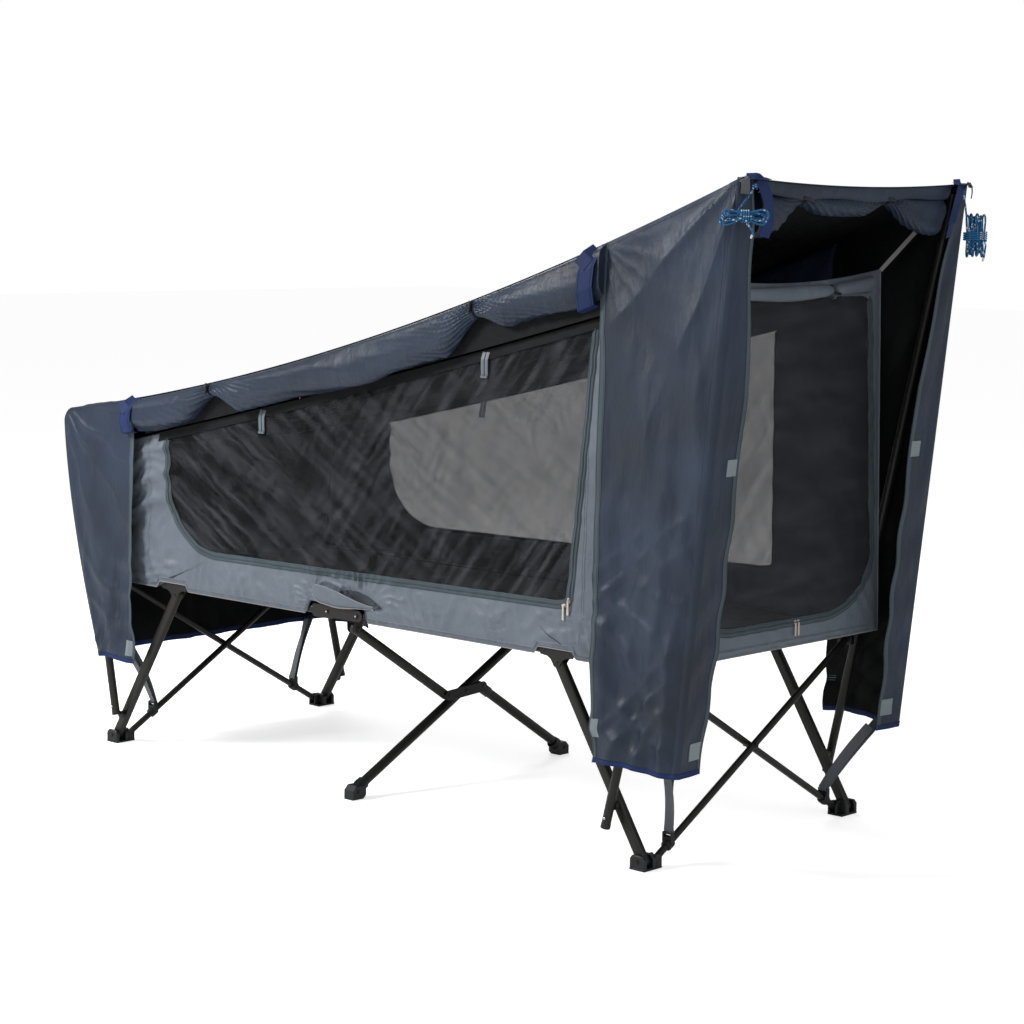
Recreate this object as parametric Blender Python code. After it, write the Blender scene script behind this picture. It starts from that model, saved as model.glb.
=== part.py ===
"""A single tent cot: a folding steel cot on three scissor pairs, with a tent sewn round its bed.

X runs along the bed from the foot end to the head end, Y across it and Z up, in metres.
The near side is -Y. All is built about the centre hinges, and moved at the end so that
the origin is on the floor under the middle of the whole length without the guy ropes.
"""

import math

import bmesh
import bpy
from mathutils import Matrix, Vector

for old in list(bpy.data.objects):
    bpy.data.objects.remove(old)

# Driving sizes of the frame
FOOT_X = 0.965
SIDE_Y = 0.392
RAIL_Z = 0.475
RAIL_R = 0.0125
RAIL_PAST_FOOT = 0.003
RAIL_END_X = FOOT_X + RAIL_PAST_FOOT
FOOT_PIVOT_Z = 0.022
GAP = 0.0003
RUN_GAP = 0.0005
OVERRUN = 0.020
JOIN = 0.001

# Corner legs, their saddles on the rails and their feet
LEG_RUN = 0.265
LEG_TOP_X = FOOT_X - LEG_RUN
LEG_TOP_DROP = 0.028
LEG_HALF_WIDTH = 0.014
LEG_THICK = 0.020
LEG_EDGE = 0.005
PIN_R = 0.004
CHEEK = 0.002
SADDLE_HALF_LENGTH = 0.052
SADDLE_BOSS_R = 0.012
BOLT_HEAD_R = 0.0055
BOLT_HEAD_H = 0.002
SHOE_HALF_X = 0.0225
SHOE_INNER_Y = 0.350
SHOE_OUTER = 0.0215
SHOE_HEIGHT = 0.035
SHOE_FLOOR = 0.006
SHOE_EDGE = 0.0015

# Crossed tubes of the two ends
CROSS_R = 0.0085
CROSS_PIVOT_Y = 0.358
CROSS_TOP_Z = 0.446
CROSS_OFFSET = 0.0095
CROSS_PIN_R = 0.003
RIVET_R = 0.006
RIVET_H = 0.002
LUG_HALF_X = 0.020
LUG_BOTTOM_Z = 0.434
LUG_THICK = 0.016
LUG_NECK_X = 0.022
LUG_TOP_Z = 0.4612
LUG_GAP = 0.0025
COLLAR_WALL = 0.0012
COLLAR_HEIGHT = 0.030

# Centre scissor, its hinge brackets and middle feet
SCISSOR_R = 0.0125
KNUCKLE_Z = 0.440
MIDDLE_FOOT_Z = 0.020
SCISSOR_GAP = 0.064
SCISSOR_DROP = 0.004
PLATE_THICK = 0.003
PLATE_HALF = 0.014
COLLAR_LENGTH = 0.030
BRACKET_FOOT_X = 0.142
BRACKET_HEAD_X = 0.042
BRACKET_BOLT_FOOT_X = 0.086
BRACKET_BOLT_HEAD_X = 0.022
BRACKET_DROP = 0.018
BRACKET_WALL = 0.002
RAIL_JOINT_X = 0.012
RAIL_JOINT_GAP = 0.004
KNUCKLE_DROP = 0.012
KNUCKLE_HALF_Y = 0.011
MIDDLE_SHOE_HALF_X = 0.0185
MIDDLE_SHOE_LENGTH = 0.046
MIDDLE_SHOE_INNER_SHARE = 0.62
MIDDLE_SHOE_HEIGHT = 0.036

# Corner uprights of the tent and their spring buttons
POLE_R = 0.011
POLE_LOW_Y = 0.4275
POLE_HIGH_Y = 0.4045
HEAD_POLE_BACK = 0.085
HEAD_POLE_LEAN = 0.2536
FOOT_POLE_BACK = 0.039
FOOT_POLE_LEAN = 0.1501
HEAD_POLE_LOW = (FOOT_X - HEAD_POLE_BACK, 0.088)
HEAD_POLE_HIGH = (FOOT_X + HEAD_POLE_LEAN, 1.5487)
FOOT_POLE_LOW = (FOOT_X - FOOT_POLE_BACK, 0.086)
FOOT_POLE_HIGH = (FOOT_X + FOOT_POLE_LEAN, 0.8849)
POLE_CAP = 0.012
POLE_CAP_LIP = 0.0010
BUTTON_R = 0.0034
BUTTON_RISE = 0.0026
BUTTON_DEPTH = 0.008
BUTTON_ABOVE_END = 0.026
POLE_PAD_R = 0.010

# Bed cloth and inner tent
CLOTH = 0.003
DECK_PAST_RAIL = 0.008
DECK_HALF_X = RAIL_END_X + DECK_PAST_RAIL
DECK_RAIL_GAP = 0.0030
DECK_HALF_Y = SIDE_Y - RAIL_R - DECK_RAIL_GAP
DECK_SAG = 0.012
DECK_RISE = 0.004
HEM_Z = 0.462
WALL_Y = 0.4055
WALL_HEAD_PAST_RAIL = 0.020
WALL_FOOT_PAST_RAIL = 0.016
WALL_HEAD_X = RAIL_END_X + WALL_HEAD_PAST_RAIL
WALL_FOOT_X = RAIL_END_X + WALL_FOOT_PAST_RAIL
WALL_HEAD_LEAN = 0.026
WALL_FOOT_LEAN = 0.048
INNER_HEAD_TOP = (WALL_HEAD_X - WALL_HEAD_LEAN, 1.290)
INNER_FOOT_TOP = (WALL_FOOT_X - WALL_FOOT_LEAN, 0.846)
INNER_ROOF_SAG = 0.012
NOTCH_TOP_Z = 0.4935
SADDLE_NOTCH_TOP_Z = 0.479
NOTCH_SIDE = 0.006
DOOR_FOOT_BACK = 0.249
DOOR_HEAD_BACK = 0.224
DOOR_HEAD_LEAN = 0.071
DOOR_FOOT_X = FOOT_X - DOOR_FOOT_BACK
DOOR_HEAD_LOW_X = FOOT_X - DOOR_HEAD_BACK
DOOR_HEAD_HIGH_X = DOOR_HEAD_LOW_X + DOOR_HEAD_LEAN
DOOR_BOTTOM_Z = 0.572
DOOR_BOTTOM_RISE = 0.014
DOOR_CORNER_R = 0.200
DOOR_TOP_BAND = 0.020
HEAD_DOOR_HALF_Y = 0.350
HEAD_DOOR_BOTTOM_Z = 0.512
HEAD_DOOR_TOP_Z = 1.262
HEAD_DOOR_CORNER_R = 0.190
HEAD_DOOR_TOP_R = 0.030
MESH_GAP = 0.0004
MESH_THICK = 0.0016

# Fly sheet
FLY_EDGE_Y = 0.437
FLY_HEAD_PAST_FOOT = 0.278
FLY_FOOT_PAST_FOOT = 0.175
FLY_HEAD_X = FOOT_X + FLY_HEAD_PAST_FOOT
FLY_FOOT_X = FOOT_X + FLY_FOOT_PAST_FOOT
FLY_MID_Z = 1.155
FLY_HEAD_Z = 1.572
FLY_FOOT_Z = 0.928
FLY_CROSS_SAG = 0.030
FLY_WALL_SAG_SHARE = 0.2
FLY_TURN = 0.045
FLY_HEM_Z = 0.258
FLY_HEM_PAST_FOOT = 0.029
FLY_HEM_X = FOOT_X + FLY_HEM_PAST_FOOT
PANEL_HEM_Z = 0.240
PANEL_INNER_BACK = 0.113
PANEL_INNER_X = FOOT_X - PANEL_INNER_BACK
PANEL_CORNER_PAST_FOOT = 0.110
PANEL_LOW_CORNER_X = FOOT_X + PANEL_CORNER_PAST_FOOT
PANEL_WRAP = 0.110
PANEL_WRAP_BACK = 0.030
PANEL_FOOT_BACK = 0.137
PANEL_FOOT_X = FOOT_X - PANEL_FOOT_BACK
PANEL_FOOT_HEM_Z = 0.247
PANEL_WRAP_SKIN_SHARE = 0.85
PANEL_TOP_SKIN_SHARE = 1.5
PANEL_WAVE = 0.010
PANEL_WAVE_PITCH = 0.105

# Rolled doors
ROLL_FOOT_BACK = 0.223
ROLL_HEAD_BACK = 0.127
ROLL_FOOT_X = FOOT_X - ROLL_FOOT_BACK
ROLL_HEAD_X = FOOT_X - ROLL_HEAD_BACK
ROLL_Y = 0.4350
ROLL_HALF_Y = 0.031
ROLL_HALF_Z = 0.050
ROLL_TIE_SHARE = 0.42
ROLL_TIES_X = (-0.494, 0.462)
ROLL_TIE_WIDTH = 0.060
HEAD_ROLL_BACK = 0.040
HEAD_ROLL_X = FLY_HEAD_X - HEAD_ROLL_BACK
HEAD_ROLL_HALF_Y = 0.352
HEAD_ROLL_R = 0.030
HEAD_ROLL_TIES_Y = (-0.190, 0.135)

# Webbing, clips, guy ropes, zip sliders and guard flap
STRAP_WIDTH = 0.025
STRAP_THICK = 0.0024
STRAP_TOP_Z = 0.236
STRAP_SLACK_SHARE = 0.3
STRAP_SEAT_SHARE = 0.55
FOOT_STRAP_PAST_FOOT = 0.011
FOOT_STRAP_TOP = (FOOT_X + FOOT_STRAP_PAST_FOOT, 0.355, 0.252)
CLIP_ALONG = 0.040
FOOT_CLIP_ALONG = 0.085
CLIP_WALL = 0.004
CLIP_LENGTH = 0.022
CLIP_TOWER = 0.020
ROPE_D = 0.0045
ROPE_DROP = 0.050
ROPE_OUT = (0.011, -0.050)
ROPE_START_DROP = 0.012
HANK_RUN = 0.085
HANK_LOOPS = 5
HANK_PITCH = 0.0052
HANK_LOOP_HALF = 0.011
HANK_WAIST = 0.0030
HANK_FACING_DEG = 43.0
SLIDER_WIDTH = 0.009
SLIDER_LENGTH = 0.013
SLIDER_THICK = 0.005
PULL_LENGTH = 0.032
PULL_WIDTH = 0.006
PULL_THICK = 0.0016
FLAP_CENTRE = (-0.016, 0.509)
FLAP_HALF = (0.125, 0.0155)
FLAP_TILT_DEG = -9.0

# Where the middle of the whole length lies from the centre hinges
ORIGIN_SKIN_SHARE = 0.8
ORIGIN_X = (FLY_HEAD_X - FLY_FOOT_X) / 2 + CLOTH * ORIGIN_SKIN_SHARE

ROUND_SIDES = 20
TUBE_SIDES = 12
CAP_RINGS = 3


def material(name, colour, roughness, metallic=0.0):
    """A plain finish for the solids, from a colour of three bytes as on screen."""
    made = bpy.data.materials.new(name)
    made.use_nodes = True
    shader = made.node_tree.nodes["Principled BSDF"]
    linear = [(part / 255) ** 2.2 for part in bytes.fromhex(colour)]
    shader.inputs["Base Color"].default_value = (*linear, 1.0)
    shader.inputs["Roughness"].default_value = roughness
    shader.inputs["Metallic"].default_value = metallic
    return made


STEEL = material("powder coated steel", "3D3A38", 0.45, 0.2)
PLASTIC = material("moulded nylon", "141516", 0.5)
CHROME = material("chromed steel", "C9CCCE", 0.2, 1.0)
NICKEL = material("nickel plated zinc", "D0C8BC", 0.3, 1.0)
FLY_CLOTH = material("coated ripstop", "3A4654", 0.6)
INNER_CLOTH = material("inner tent polyester", "6F7C8C", 0.7)
BED_CLOTH = material("bed polyester", "2A2E33", 0.8)
NET = material("black netting", "1A1B1D", 0.8)
WEBBING = material("grey webbing", "5A5C63", 0.8)
ROPE = material("blue cord", "0F6DA8", 0.7)


def add(name, bm, finish, origin=None, smooth_deg=35.0):
    """Puts a bmesh in the scene as one object, with its origin at a joint if one is given."""
    mesh = bpy.data.meshes.new(name)
    bmesh.ops.recalc_face_normals(bm, faces=bm.faces)
    if bm.calc_volume(signed=True) < 0:
        bmesh.ops.reverse_faces(bm, faces=bm.faces)
    bm.to_mesh(mesh)
    bm.free()
    mesh.shade_smooth()
    mesh.set_sharp_from_angle(angle=math.radians(smooth_deg))
    mesh.materials.append(finish)
    made = bpy.data.objects.new(name, mesh)
    bpy.context.scene.collection.objects.link(made)
    if origin is not None:
        place = Vector(origin)
        mesh.transform(Matrix.Translation(-place))
        made.location = place
    return made


def helper(name, bm):
    """A guide or cutter, which isn't part of the object."""
    made = add(name, bm, STEEL)
    made.hide_render = True
    made.display_type = "WIRE"
    return made


def combine(target, other, operation):
    """Joins or cuts with another object, and keeps the result as the target's mesh."""
    step = target.modifiers.new("shape", "BOOLEAN")
    step.operation = operation
    step.object = other
    graph = bpy.context.evaluated_depsgraph_get()
    result = bpy.data.meshes.new_from_object(target.evaluated_get(graph))
    target.modifiers.clear()
    old = target.data
    target.data = result
    bpy.data.meshes.remove(old)
    bpy.data.objects.remove(other)
    return target


def union(target, bm):
    return combine(target, helper("guide", bm), "UNION")


def cut(target, bm):
    return combine(target, helper("cutter", bm), "DIFFERENCE")


def frame_along(direction, side=None):
    """Two unit vectors square to a direction."""
    along = Vector(direction).normalized()
    upright_way = Vector((0, 0, 1)) if abs(along.z) < 0.9 else Vector((1, 0, 0))
    guess = Vector(side) if side is not None else upright_way
    first = (guess - along * guess.dot(along)).normalized()
    return first, along.cross(first)


def loft(rings, closed_ends=True):
    """A closed skin through rings of points of equal count."""
    bm = bmesh.new()
    rows = [[bm.verts.new(point) for point in ring] for ring in rings]
    for low, high in zip(rows, rows[1:]):
        count = len(low)
        for i in range(count):
            j = (i + 1) % count
            bm.faces.new((low[i], low[j], high[j], high[i]))
    if closed_ends:
        bm.faces.new(reversed(rows[0]))
        bm.faces.new(rows[-1])
    return bm


def ring(centre, first, second, radius_a, radius_b, sides):
    turn = 2 * math.pi / sides
    return [
        Vector(centre) + first * (radius_a * math.cos(i * turn)) + second * (radius_b * math.sin(i * turn))
        for i in range(sides)
    ]


def rod(start, end, radius, sides=TUBE_SIDES, side=None):
    """A straight round bar with flat ends."""
    start, end = Vector(start), Vector(end)
    first, second = frame_along(end - start, side)
    return loft([ring(place, first, second, radius, radius, sides) for place in (start, end)])


def rounded_rod(start, end, radius, sides=TUBE_SIDES, round_start=True, round_end=True):
    """A straight round tube whose chosen ends are half balls centred on the pivots."""
    start, end = Vector(start), Vector(end)
    along = (end - start).normalized()
    first, second = frame_along(along)
    steps = [math.pi / 2 * i / (CAP_RINGS + 1) for i in range(CAP_RINGS + 1)]
    rings = []
    for angle in reversed(steps) if round_start else (0.0,):
        centre = start - along * (radius * math.sin(angle))
        width = radius * math.cos(angle)
        rings.append(ring(centre, first, second, width, width, sides))
    for angle in steps if round_end else (0.0,):
        centre = end + along * (radius * math.sin(angle))
        width = radius * math.cos(angle)
        rings.append(ring(centre, first, second, width, width, sides))
    return loft(rings)


def box(low, high):
    bm = bmesh.new()
    bmesh.ops.create_cube(bm, size=1.0)
    low, high = Vector(low), Vector(high)
    for vert in bm.verts:
        vert.co = Vector((low[i] if vert.co[i] < 0 else high[i] for i in range(3)))
    return bm


def bevel_edges(bm, width, chooser=None, segments=2):
    edges = [edge for edge in bm.edges if chooser is None or chooser(edge)]
    bmesh.ops.bevel(bm, geom=edges, offset=width, segments=segments, affect="EDGES", profile=0.5)
    return bm


def prism(outline, axis, low, high):
    """An outline of pairs pushed out along an axis: Y takes (x, z) and X takes (y, z)."""
    bm = bmesh.new()
    place = {
        "x": lambda a, b, at: Vector((at, a, b)),
        "y": lambda a, b, at: Vector((a, at, b)),
        "z": lambda a, b, at: Vector((a, b, at)),
    }[axis]
    rows = [[bm.verts.new(place(a, b, at)) for a, b in outline] for at in (low, high)]
    count = len(outline)
    for i in range(count):
        j = (i + 1) % count
        bm.faces.new((rows[0][i], rows[0][j], rows[1][j], rows[1][i]))
    bm.faces.new(reversed(rows[0]))
    bm.faces.new(rows[1])
    return bm


def arc(centre, radius, start_deg, end_deg, steps):
    return [
        (
            centre[0] + radius * math.cos(math.radians(start_deg + (end_deg - start_deg) * i / steps)),
            centre[1] + radius * math.sin(math.radians(start_deg + (end_deg - start_deg) * i / steps)),
        )
        for i in range(steps + 1)
    ]


def stadium(a, b, half_width, steps=6):
    """The outline of a link with round ends about two pivots."""
    heading = math.degrees(math.atan2(b[1] - a[1], b[0] - a[0]))
    start = arc(a, half_width, heading + 90, heading + 270, steps)
    return start + arc(b, half_width, heading - 90, heading + 90, steps)


def sheet(name, rows, thickness, finish):
    """Cloth as a closed solid: a grid of points and its copy set back along the surface normals."""
    count_u, count_v = len(rows), len(rows[0])
    set_back = []
    for i, row in enumerate(rows):
        line = []
        for j, point in enumerate(row):
            along_u = rows[min(i + 1, count_u - 1)][j] - rows[max(i - 1, 0)][j]
            along_v = row[min(j + 1, count_v - 1)] - row[max(j - 1, 0)]
            line.append(point - along_u.cross(along_v).normalized() * thickness)
        set_back.append(line)
    bm = bmesh.new()
    front = [[bm.verts.new(point) for point in row] for row in rows]
    back = [[bm.verts.new(point) for point in row] for row in set_back]
    for i in range(count_u - 1):
        for j in range(count_v - 1):
            bm.faces.new((front[i][j], front[i + 1][j], front[i + 1][j + 1], front[i][j + 1]))
            bm.faces.new((back[i][j], back[i][j + 1], back[i + 1][j + 1], back[i + 1][j]))
    edge = (
        [(i, 0) for i in range(count_u)]
        + [(count_u - 1, j) for j in range(1, count_v)]
        + [(i, count_v - 1) for i in range(count_u - 2, -1, -1)]
        + [(0, j) for j in range(count_v - 2, 0, -1)]
    )
    for (i, j), (m, n) in zip(edge, edge[1:] + edge[:1]):
        bm.faces.new((front[i][j], back[i][j], back[m][n], front[m][n]))
    return add(name, bm, finish)


def lerp(a, b, share):
    return a + (b - a) * share


SIDES = {"near": -1, "far": 1}
ENDS = {"foot": -1, "head": 1}
LEG_TOP_Z = RAIL_Z - LEG_TOP_DROP
WALL_SKIN_Y = WALL_Y + CLOTH


def pole_line(end):
    """The lowest and highest centre points of an upright of the near side."""
    low, high = (HEAD_POLE_LOW, HEAD_POLE_HIGH) if end == "head" else (FOOT_POLE_LOW, FOOT_POLE_HIGH)
    way = ENDS[end]
    return Vector((way * low[0], -POLE_LOW_Y, low[1])), Vector((way * high[0], -POLE_HIGH_Y, high[1]))


def pole_at(end, height):
    low, high = pole_line(end)
    return low.lerp(high, (height - low.z) / (high.z - low.z))


def mirrored(bm, side):
    """Turns near-side points into far-side points."""
    if side == "far":
        for vert in bm.verts:
            vert.co.y = -vert.co.y
    return bm


def side_rail(side, end):
    """Half a side rail, with the pressed saddle that holds the corner leg and the plastic end fitting."""
    way = ENDS[end]
    inner = RAIL_JOINT_X - RAIL_JOINT_GAP / 2 if end == "foot" else -RAIL_JOINT_X - RAIL_JOINT_GAP / 2
    start = (-inner, -SIDE_Y, RAIL_Z)
    bm = rod(start, (way * RAIL_END_X, -SIDE_Y, RAIL_Z), RAIL_R, ROUND_SIDES)
    rail = add(f"{side}_rail_{end}_half", mirrored(bm, side), STEEL)
    top = way * LEG_TOP_X
    pivot = (top, LEG_TOP_Z)
    outline = [(top - SADDLE_HALF_LENGTH, RAIL_Z), (top + SADDLE_HALF_LENGTH, RAIL_Z)]
    shoulder = RAIL_R + CHEEK
    outline += [(top + SADDLE_HALF_LENGTH, RAIL_Z - shoulder)]
    outline += list(reversed(arc(pivot, SADDLE_BOSS_R, 180 + 20, 360 - 20, 8)))
    outline += [(top - SADDLE_HALF_LENGTH, RAIL_Z - shoulder)]
    half = LEG_THICK / 2 + RUN_GAP
    for low in (-SIDE_Y - half - CHEEK, -SIDE_Y + half):
        union(rail, mirrored(prism(outline, "y", low, low + CHEEK), side))
    pin = rod(
        (top, -SIDE_Y - half - CHEEK - BOLT_HEAD_H / 2, LEG_TOP_Z),
        (top, -SIDE_Y + half + CHEEK + BOLT_HEAD_H / 2, LEG_TOP_Z),
        PIN_R,
    )
    union(rail, mirrored(pin, side))
    lug_y = -CROSS_PIVOT_Y - CROSS_R - LUG_GAP
    lug = box(
        (way * FOOT_X - LUG_HALF_X, lug_y - LUG_THICK, LUG_BOTTOM_Z),
        (way * FOOT_X + LUG_HALF_X, lug_y, LUG_TOP_Z),
    )
    bevel_edges(lug, SHOE_EDGE, lambda edge: abs(edge.verts[0].co.y - edge.verts[1].co.y) > LUG_THICK / 2)
    union(rail, mirrored(lug, side))
    neck_end = way * RAIL_END_X
    neck = box(
        (min(neck_end, neck_end - way * LUG_NECK_X), lug_y - LUG_THICK, LUG_TOP_Z - CHEEK),
        (max(neck_end, neck_end - way * LUG_NECK_X), lug_y - CHEEK, RAIL_Z),
    )
    union(rail, mirrored(neck, side))
    middle = pole_at(end, RAIL_Z)
    low, high = pole_line(end)
    along = (high - low).normalized()
    half_height = along * (COLLAR_HEIGHT / 2)
    outer = POLE_R + RUN_GAP + COLLAR_WALL
    union(rail, mirrored(rod(middle - half_height, middle + half_height, outer, ROUND_SIDES), side))
    root = neck_end - way * LUG_NECK_X
    for reach, inner_y in ((neck_end, SIDE_Y), (middle.x, WALL_Y)):
        web = box(
            (min(root, reach), -POLE_LOW_Y + POLE_R / 2, RAIL_Z - RAIL_R / 2),
            (max(root, reach), -inner_y, RAIL_Z + RAIL_R / 2),
        )
        union(rail, mirrored(web, side))
    bore = rod(middle - half_height * 2, middle + half_height * 2, POLE_R + RUN_GAP, ROUND_SIDES)
    cut(rail, mirrored(bore, side))
    return rail


def hinge_bracket(side):
    """The pressed channel over the rail joint, its bolts and the knuckle of the centre scissor."""
    half = RAIL_R + RUN_GAP + BRACKET_WALL
    inside = RAIL_R + RUN_GAP
    low = RAIL_Z - BRACKET_DROP
    high = RAIL_Z + half
    outline = arc((BRACKET_HEAD_X - half, RAIL_Z), half, 90, -90, 8)
    outline += [(-BRACKET_FOOT_X, low), (-BRACKET_FOOT_X, high)]
    bm = prism(outline, "y", -SIDE_Y - half, -SIDE_Y + half)
    bracket = add(f"{side}_hinge_bracket", mirrored(bm, side), STEEL)
    channel = box(
        (-BRACKET_FOOT_X - OVERRUN, -SIDE_Y - inside, low - OVERRUN),
        (BRACKET_HEAD_X + OVERRUN, -SIDE_Y + inside, RAIL_Z + inside),
    )
    cut(bracket, mirrored(channel, side))
    knuckle_x = SCISSOR_R + RUN_GAP
    for way in (-1, 1):
        plate = prism(
            [(-SIDE_Y - KNUCKLE_HALF_Y - CHEEK, RAIL_Z - inside), (-SIDE_Y + half, RAIL_Z - inside)]
            + arc((-SIDE_Y, KNUCKLE_Z), KNUCKLE_DROP, -20, -160, 6),
            "x",
            min(way * knuckle_x, way * (knuckle_x + CHEEK)),
            max(way * knuckle_x, way * (knuckle_x + CHEEK)),
        )
        union(bracket, mirrored(plate, side))
    reach = knuckle_x + CHEEK + RIVET_H
    union(bracket, mirrored(rod((-reach, -SIDE_Y, KNUCKLE_Z), (reach, -SIDE_Y, KNUCKLE_Z), PIN_R), side))
    for x in (-BRACKET_BOLT_FOOT_X, BRACKET_BOLT_HEAD_X):
        seat = (x, -SIDE_Y - half + BRACKET_WALL / 2, RAIL_Z)
        bolt = rod((x, -SIDE_Y - half - BOLT_HEAD_H, RAIL_Z), seat, BOLT_HEAD_R)
        union(bracket, mirrored(bolt, side))
    return bracket


def corner_leg(side, end):
    """A flat-sided oval tube from the saddle to the corner foot, with a pad that meets the upright."""
    way = ENDS[end]
    top = (way * LEG_TOP_X, LEG_TOP_Z)
    foot = (way * FOOT_X, FOOT_PIVOT_Z)
    bm = prism(stadium(top, foot, LEG_HALF_WIDTH), "y", -SIDE_Y - LEG_THICK / 2, -SIDE_Y + LEG_THICK / 2)
    bevel_edges(bm, LEG_EDGE, lambda edge: abs(edge.verts[0].co.y - edge.verts[1].co.y) < GAP)
    leg = add(f"{side}_{end}_leg", mirrored(bm, side), STEEL, (top[0], SIDES[side] * SIDE_Y, top[1]))
    for x, z in (top, foot):
        hole = rod((x, -SIDE_Y - OVERRUN, z), (x, -SIDE_Y + OVERRUN, z), PIN_R + GAP)
        cut(leg, mirrored(hole, side))
    low, high = pole_line(end)
    slope = (high.x - low.x) / (high.z - low.z)
    leg_slope = (foot[0] - top[0]) / (foot[1] - top[1])
    meet_z = (top[0] - low.x - leg_slope * top[1] + slope * low.z) / (slope - leg_slope)
    meet = pole_at(end, meet_z)
    pad_face = meet.y + POLE_R + POLE_CAP_LIP + GAP
    pad = rod((meet.x, pad_face, meet_z), (meet.x, -SIDE_Y - LEG_THICK / 2 + JOIN, meet_z), POLE_PAD_R)
    union(leg, mirrored(pad, side))
    return leg


def corner_foot(side, end):
    """The moulded corner foot, with a slot for the leg and a slot for the crossed tube."""
    way = ENDS[end]
    x = way * FOOT_X
    outer = -SIDE_Y - SHOE_OUTER
    bm = box((x - SHOE_HALF_X, outer, 0), (x + SHOE_HALF_X, -SHOE_INNER_Y, SHOE_HEIGHT))
    bevel_edges(bm, SHOE_EDGE)
    foot = add(f"{side}_{end}_foot", mirrored(bm, side), PLASTIC, (x, SIDES[side] * SIDE_Y, FOOT_PIVOT_Z))
    half = LEG_THICK / 2 + RUN_GAP
    leg_slot = box(
        (x - SHOE_HALF_X - OVERRUN, -SIDE_Y - half, SHOE_FLOOR),
        (x + SHOE_HALF_X + OVERRUN, -SIDE_Y + half, SHOE_HEIGHT + OVERRUN),
    )
    cut(foot, mirrored(leg_slot, side))
    tube_x = x + tube_offset(side, end)
    half = CROSS_R + RUN_GAP
    tube_slot = box(
        (tube_x - half, -CROSS_PIVOT_Y - CROSS_R - RUN_GAP, FOOT_PIVOT_Z - half - CHEEK),
        (tube_x + half, -SHOE_INNER_Y + OVERRUN, SHOE_HEIGHT + OVERRUN),
    )
    cut(foot, mirrored(tube_slot, side))
    reach = LEG_THICK / 2 + RUN_GAP + CHEEK
    pin = rod(
        (x, outer - BOLT_HEAD_H / 2, FOOT_PIVOT_Z), (x, -SIDE_Y + reach, FOOT_PIVOT_Z), PIN_R
    )
    union(foot, mirrored(pin, side))
    head = rod((x, outer - BOLT_HEAD_H, FOOT_PIVOT_Z), (x, outer + JOIN, FOOT_PIVOT_Z), BOLT_HEAD_R)
    union(foot, mirrored(head, side))
    reach = CROSS_R + RUN_GAP + CHEEK
    pin_end = (tube_x + reach, -CROSS_PIVOT_Y, FOOT_PIVOT_Z)
    cross_pin = rod((tube_x - reach, -CROSS_PIVOT_Y, FOOT_PIVOT_Z), pin_end, CROSS_PIN_R)
    union(foot, mirrored(cross_pin, side))
    return foot


def tube_offset(side, end):
    """The crossed tubes of an end lie beside each other along X."""
    return -SIDES[side] * CROSS_OFFSET


def cross_tube(side, end):
    """A tube from a corner foot up to the other side's rail, riveted where it crosses its pair."""
    x = ENDS[end] * FOOT_X + tube_offset(side, end)
    low = Vector((x, -CROSS_PIVOT_Y, FOOT_PIVOT_Z))
    high = Vector((x, CROSS_PIVOT_Y, CROSS_TOP_Z))
    bm = mirrored(rounded_rod(low, high, CROSS_R), side)
    tube = add(f"{side}_{end}_cross_tube", bm, STEEL, (x, SIDES[side] * CROSS_PIVOT_Y, FOOT_PIVOT_Z))
    hole = rod(low - Vector((OVERRUN, 0, 0)), low + Vector((OVERRUN, 0, 0)), CROSS_PIN_R + GAP)
    cut(tube, mirrored(hole, side))
    middle = low.lerp(high, 0.5)
    outward = -SIDES[side]
    rivet_end = middle + Vector((outward * (CROSS_R + RIVET_H), 0, 0))
    rivet = rod(middle + Vector((outward * CROSS_R / 2, 0, 0)), rivet_end, RIVET_R)
    union(tube, mirrored(rivet, side))
    return tube


def strap_clip(side, end):
    """The moulded hook that ties a corner strap to a crossed tube."""
    x = ENDS[end] * FOOT_X + tube_offset(side, end)
    low = Vector((x, -CROSS_PIVOT_Y, FOOT_PIVOT_Z))
    high = Vector((x, CROSS_PIVOT_Y, CROSS_TOP_Z))
    along = (high - low).normalized()
    at = CLIP_ALONG if end == "head" else FOOT_CLIP_ALONG
    start, stop = low + along * at, low + along * (at + CLIP_LENGTH)
    bm = mirrored(rod(start, stop, CROSS_R + GAP + CLIP_WALL, ROUND_SIDES), side)
    clip = add(f"{side}_{end}_strap_clip", bm, PLASTIC)
    middle = (start + stop) / 2
    tower = box(
        (x - STRAP_WIDTH / 2, middle.y - CLIP_LENGTH / 3, middle.z),
        (x + STRAP_WIDTH / 2, middle.y + CLIP_LENGTH / 3, middle.z + CROSS_R + CLIP_TOWER),
    )
    bevel_edges(tower, SHOE_EDGE)
    union(clip, mirrored(tower, side))
    bore = rod(start - along * OVERRUN, stop + along * OVERRUN, CROSS_R + GAP, ROUND_SIDES)
    cut(clip, mirrored(bore, side))
    return clip, middle.z + CROSS_R + CLIP_TOWER, middle.y


def scissor_points():
    near_top = Vector((0, -SIDE_Y, KNUCKLE_Z))
    far_foot = Vector((0, SIDE_Y, MIDDLE_FOOT_Z))
    return near_top, far_foot, (near_top + far_foot) / 2


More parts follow.
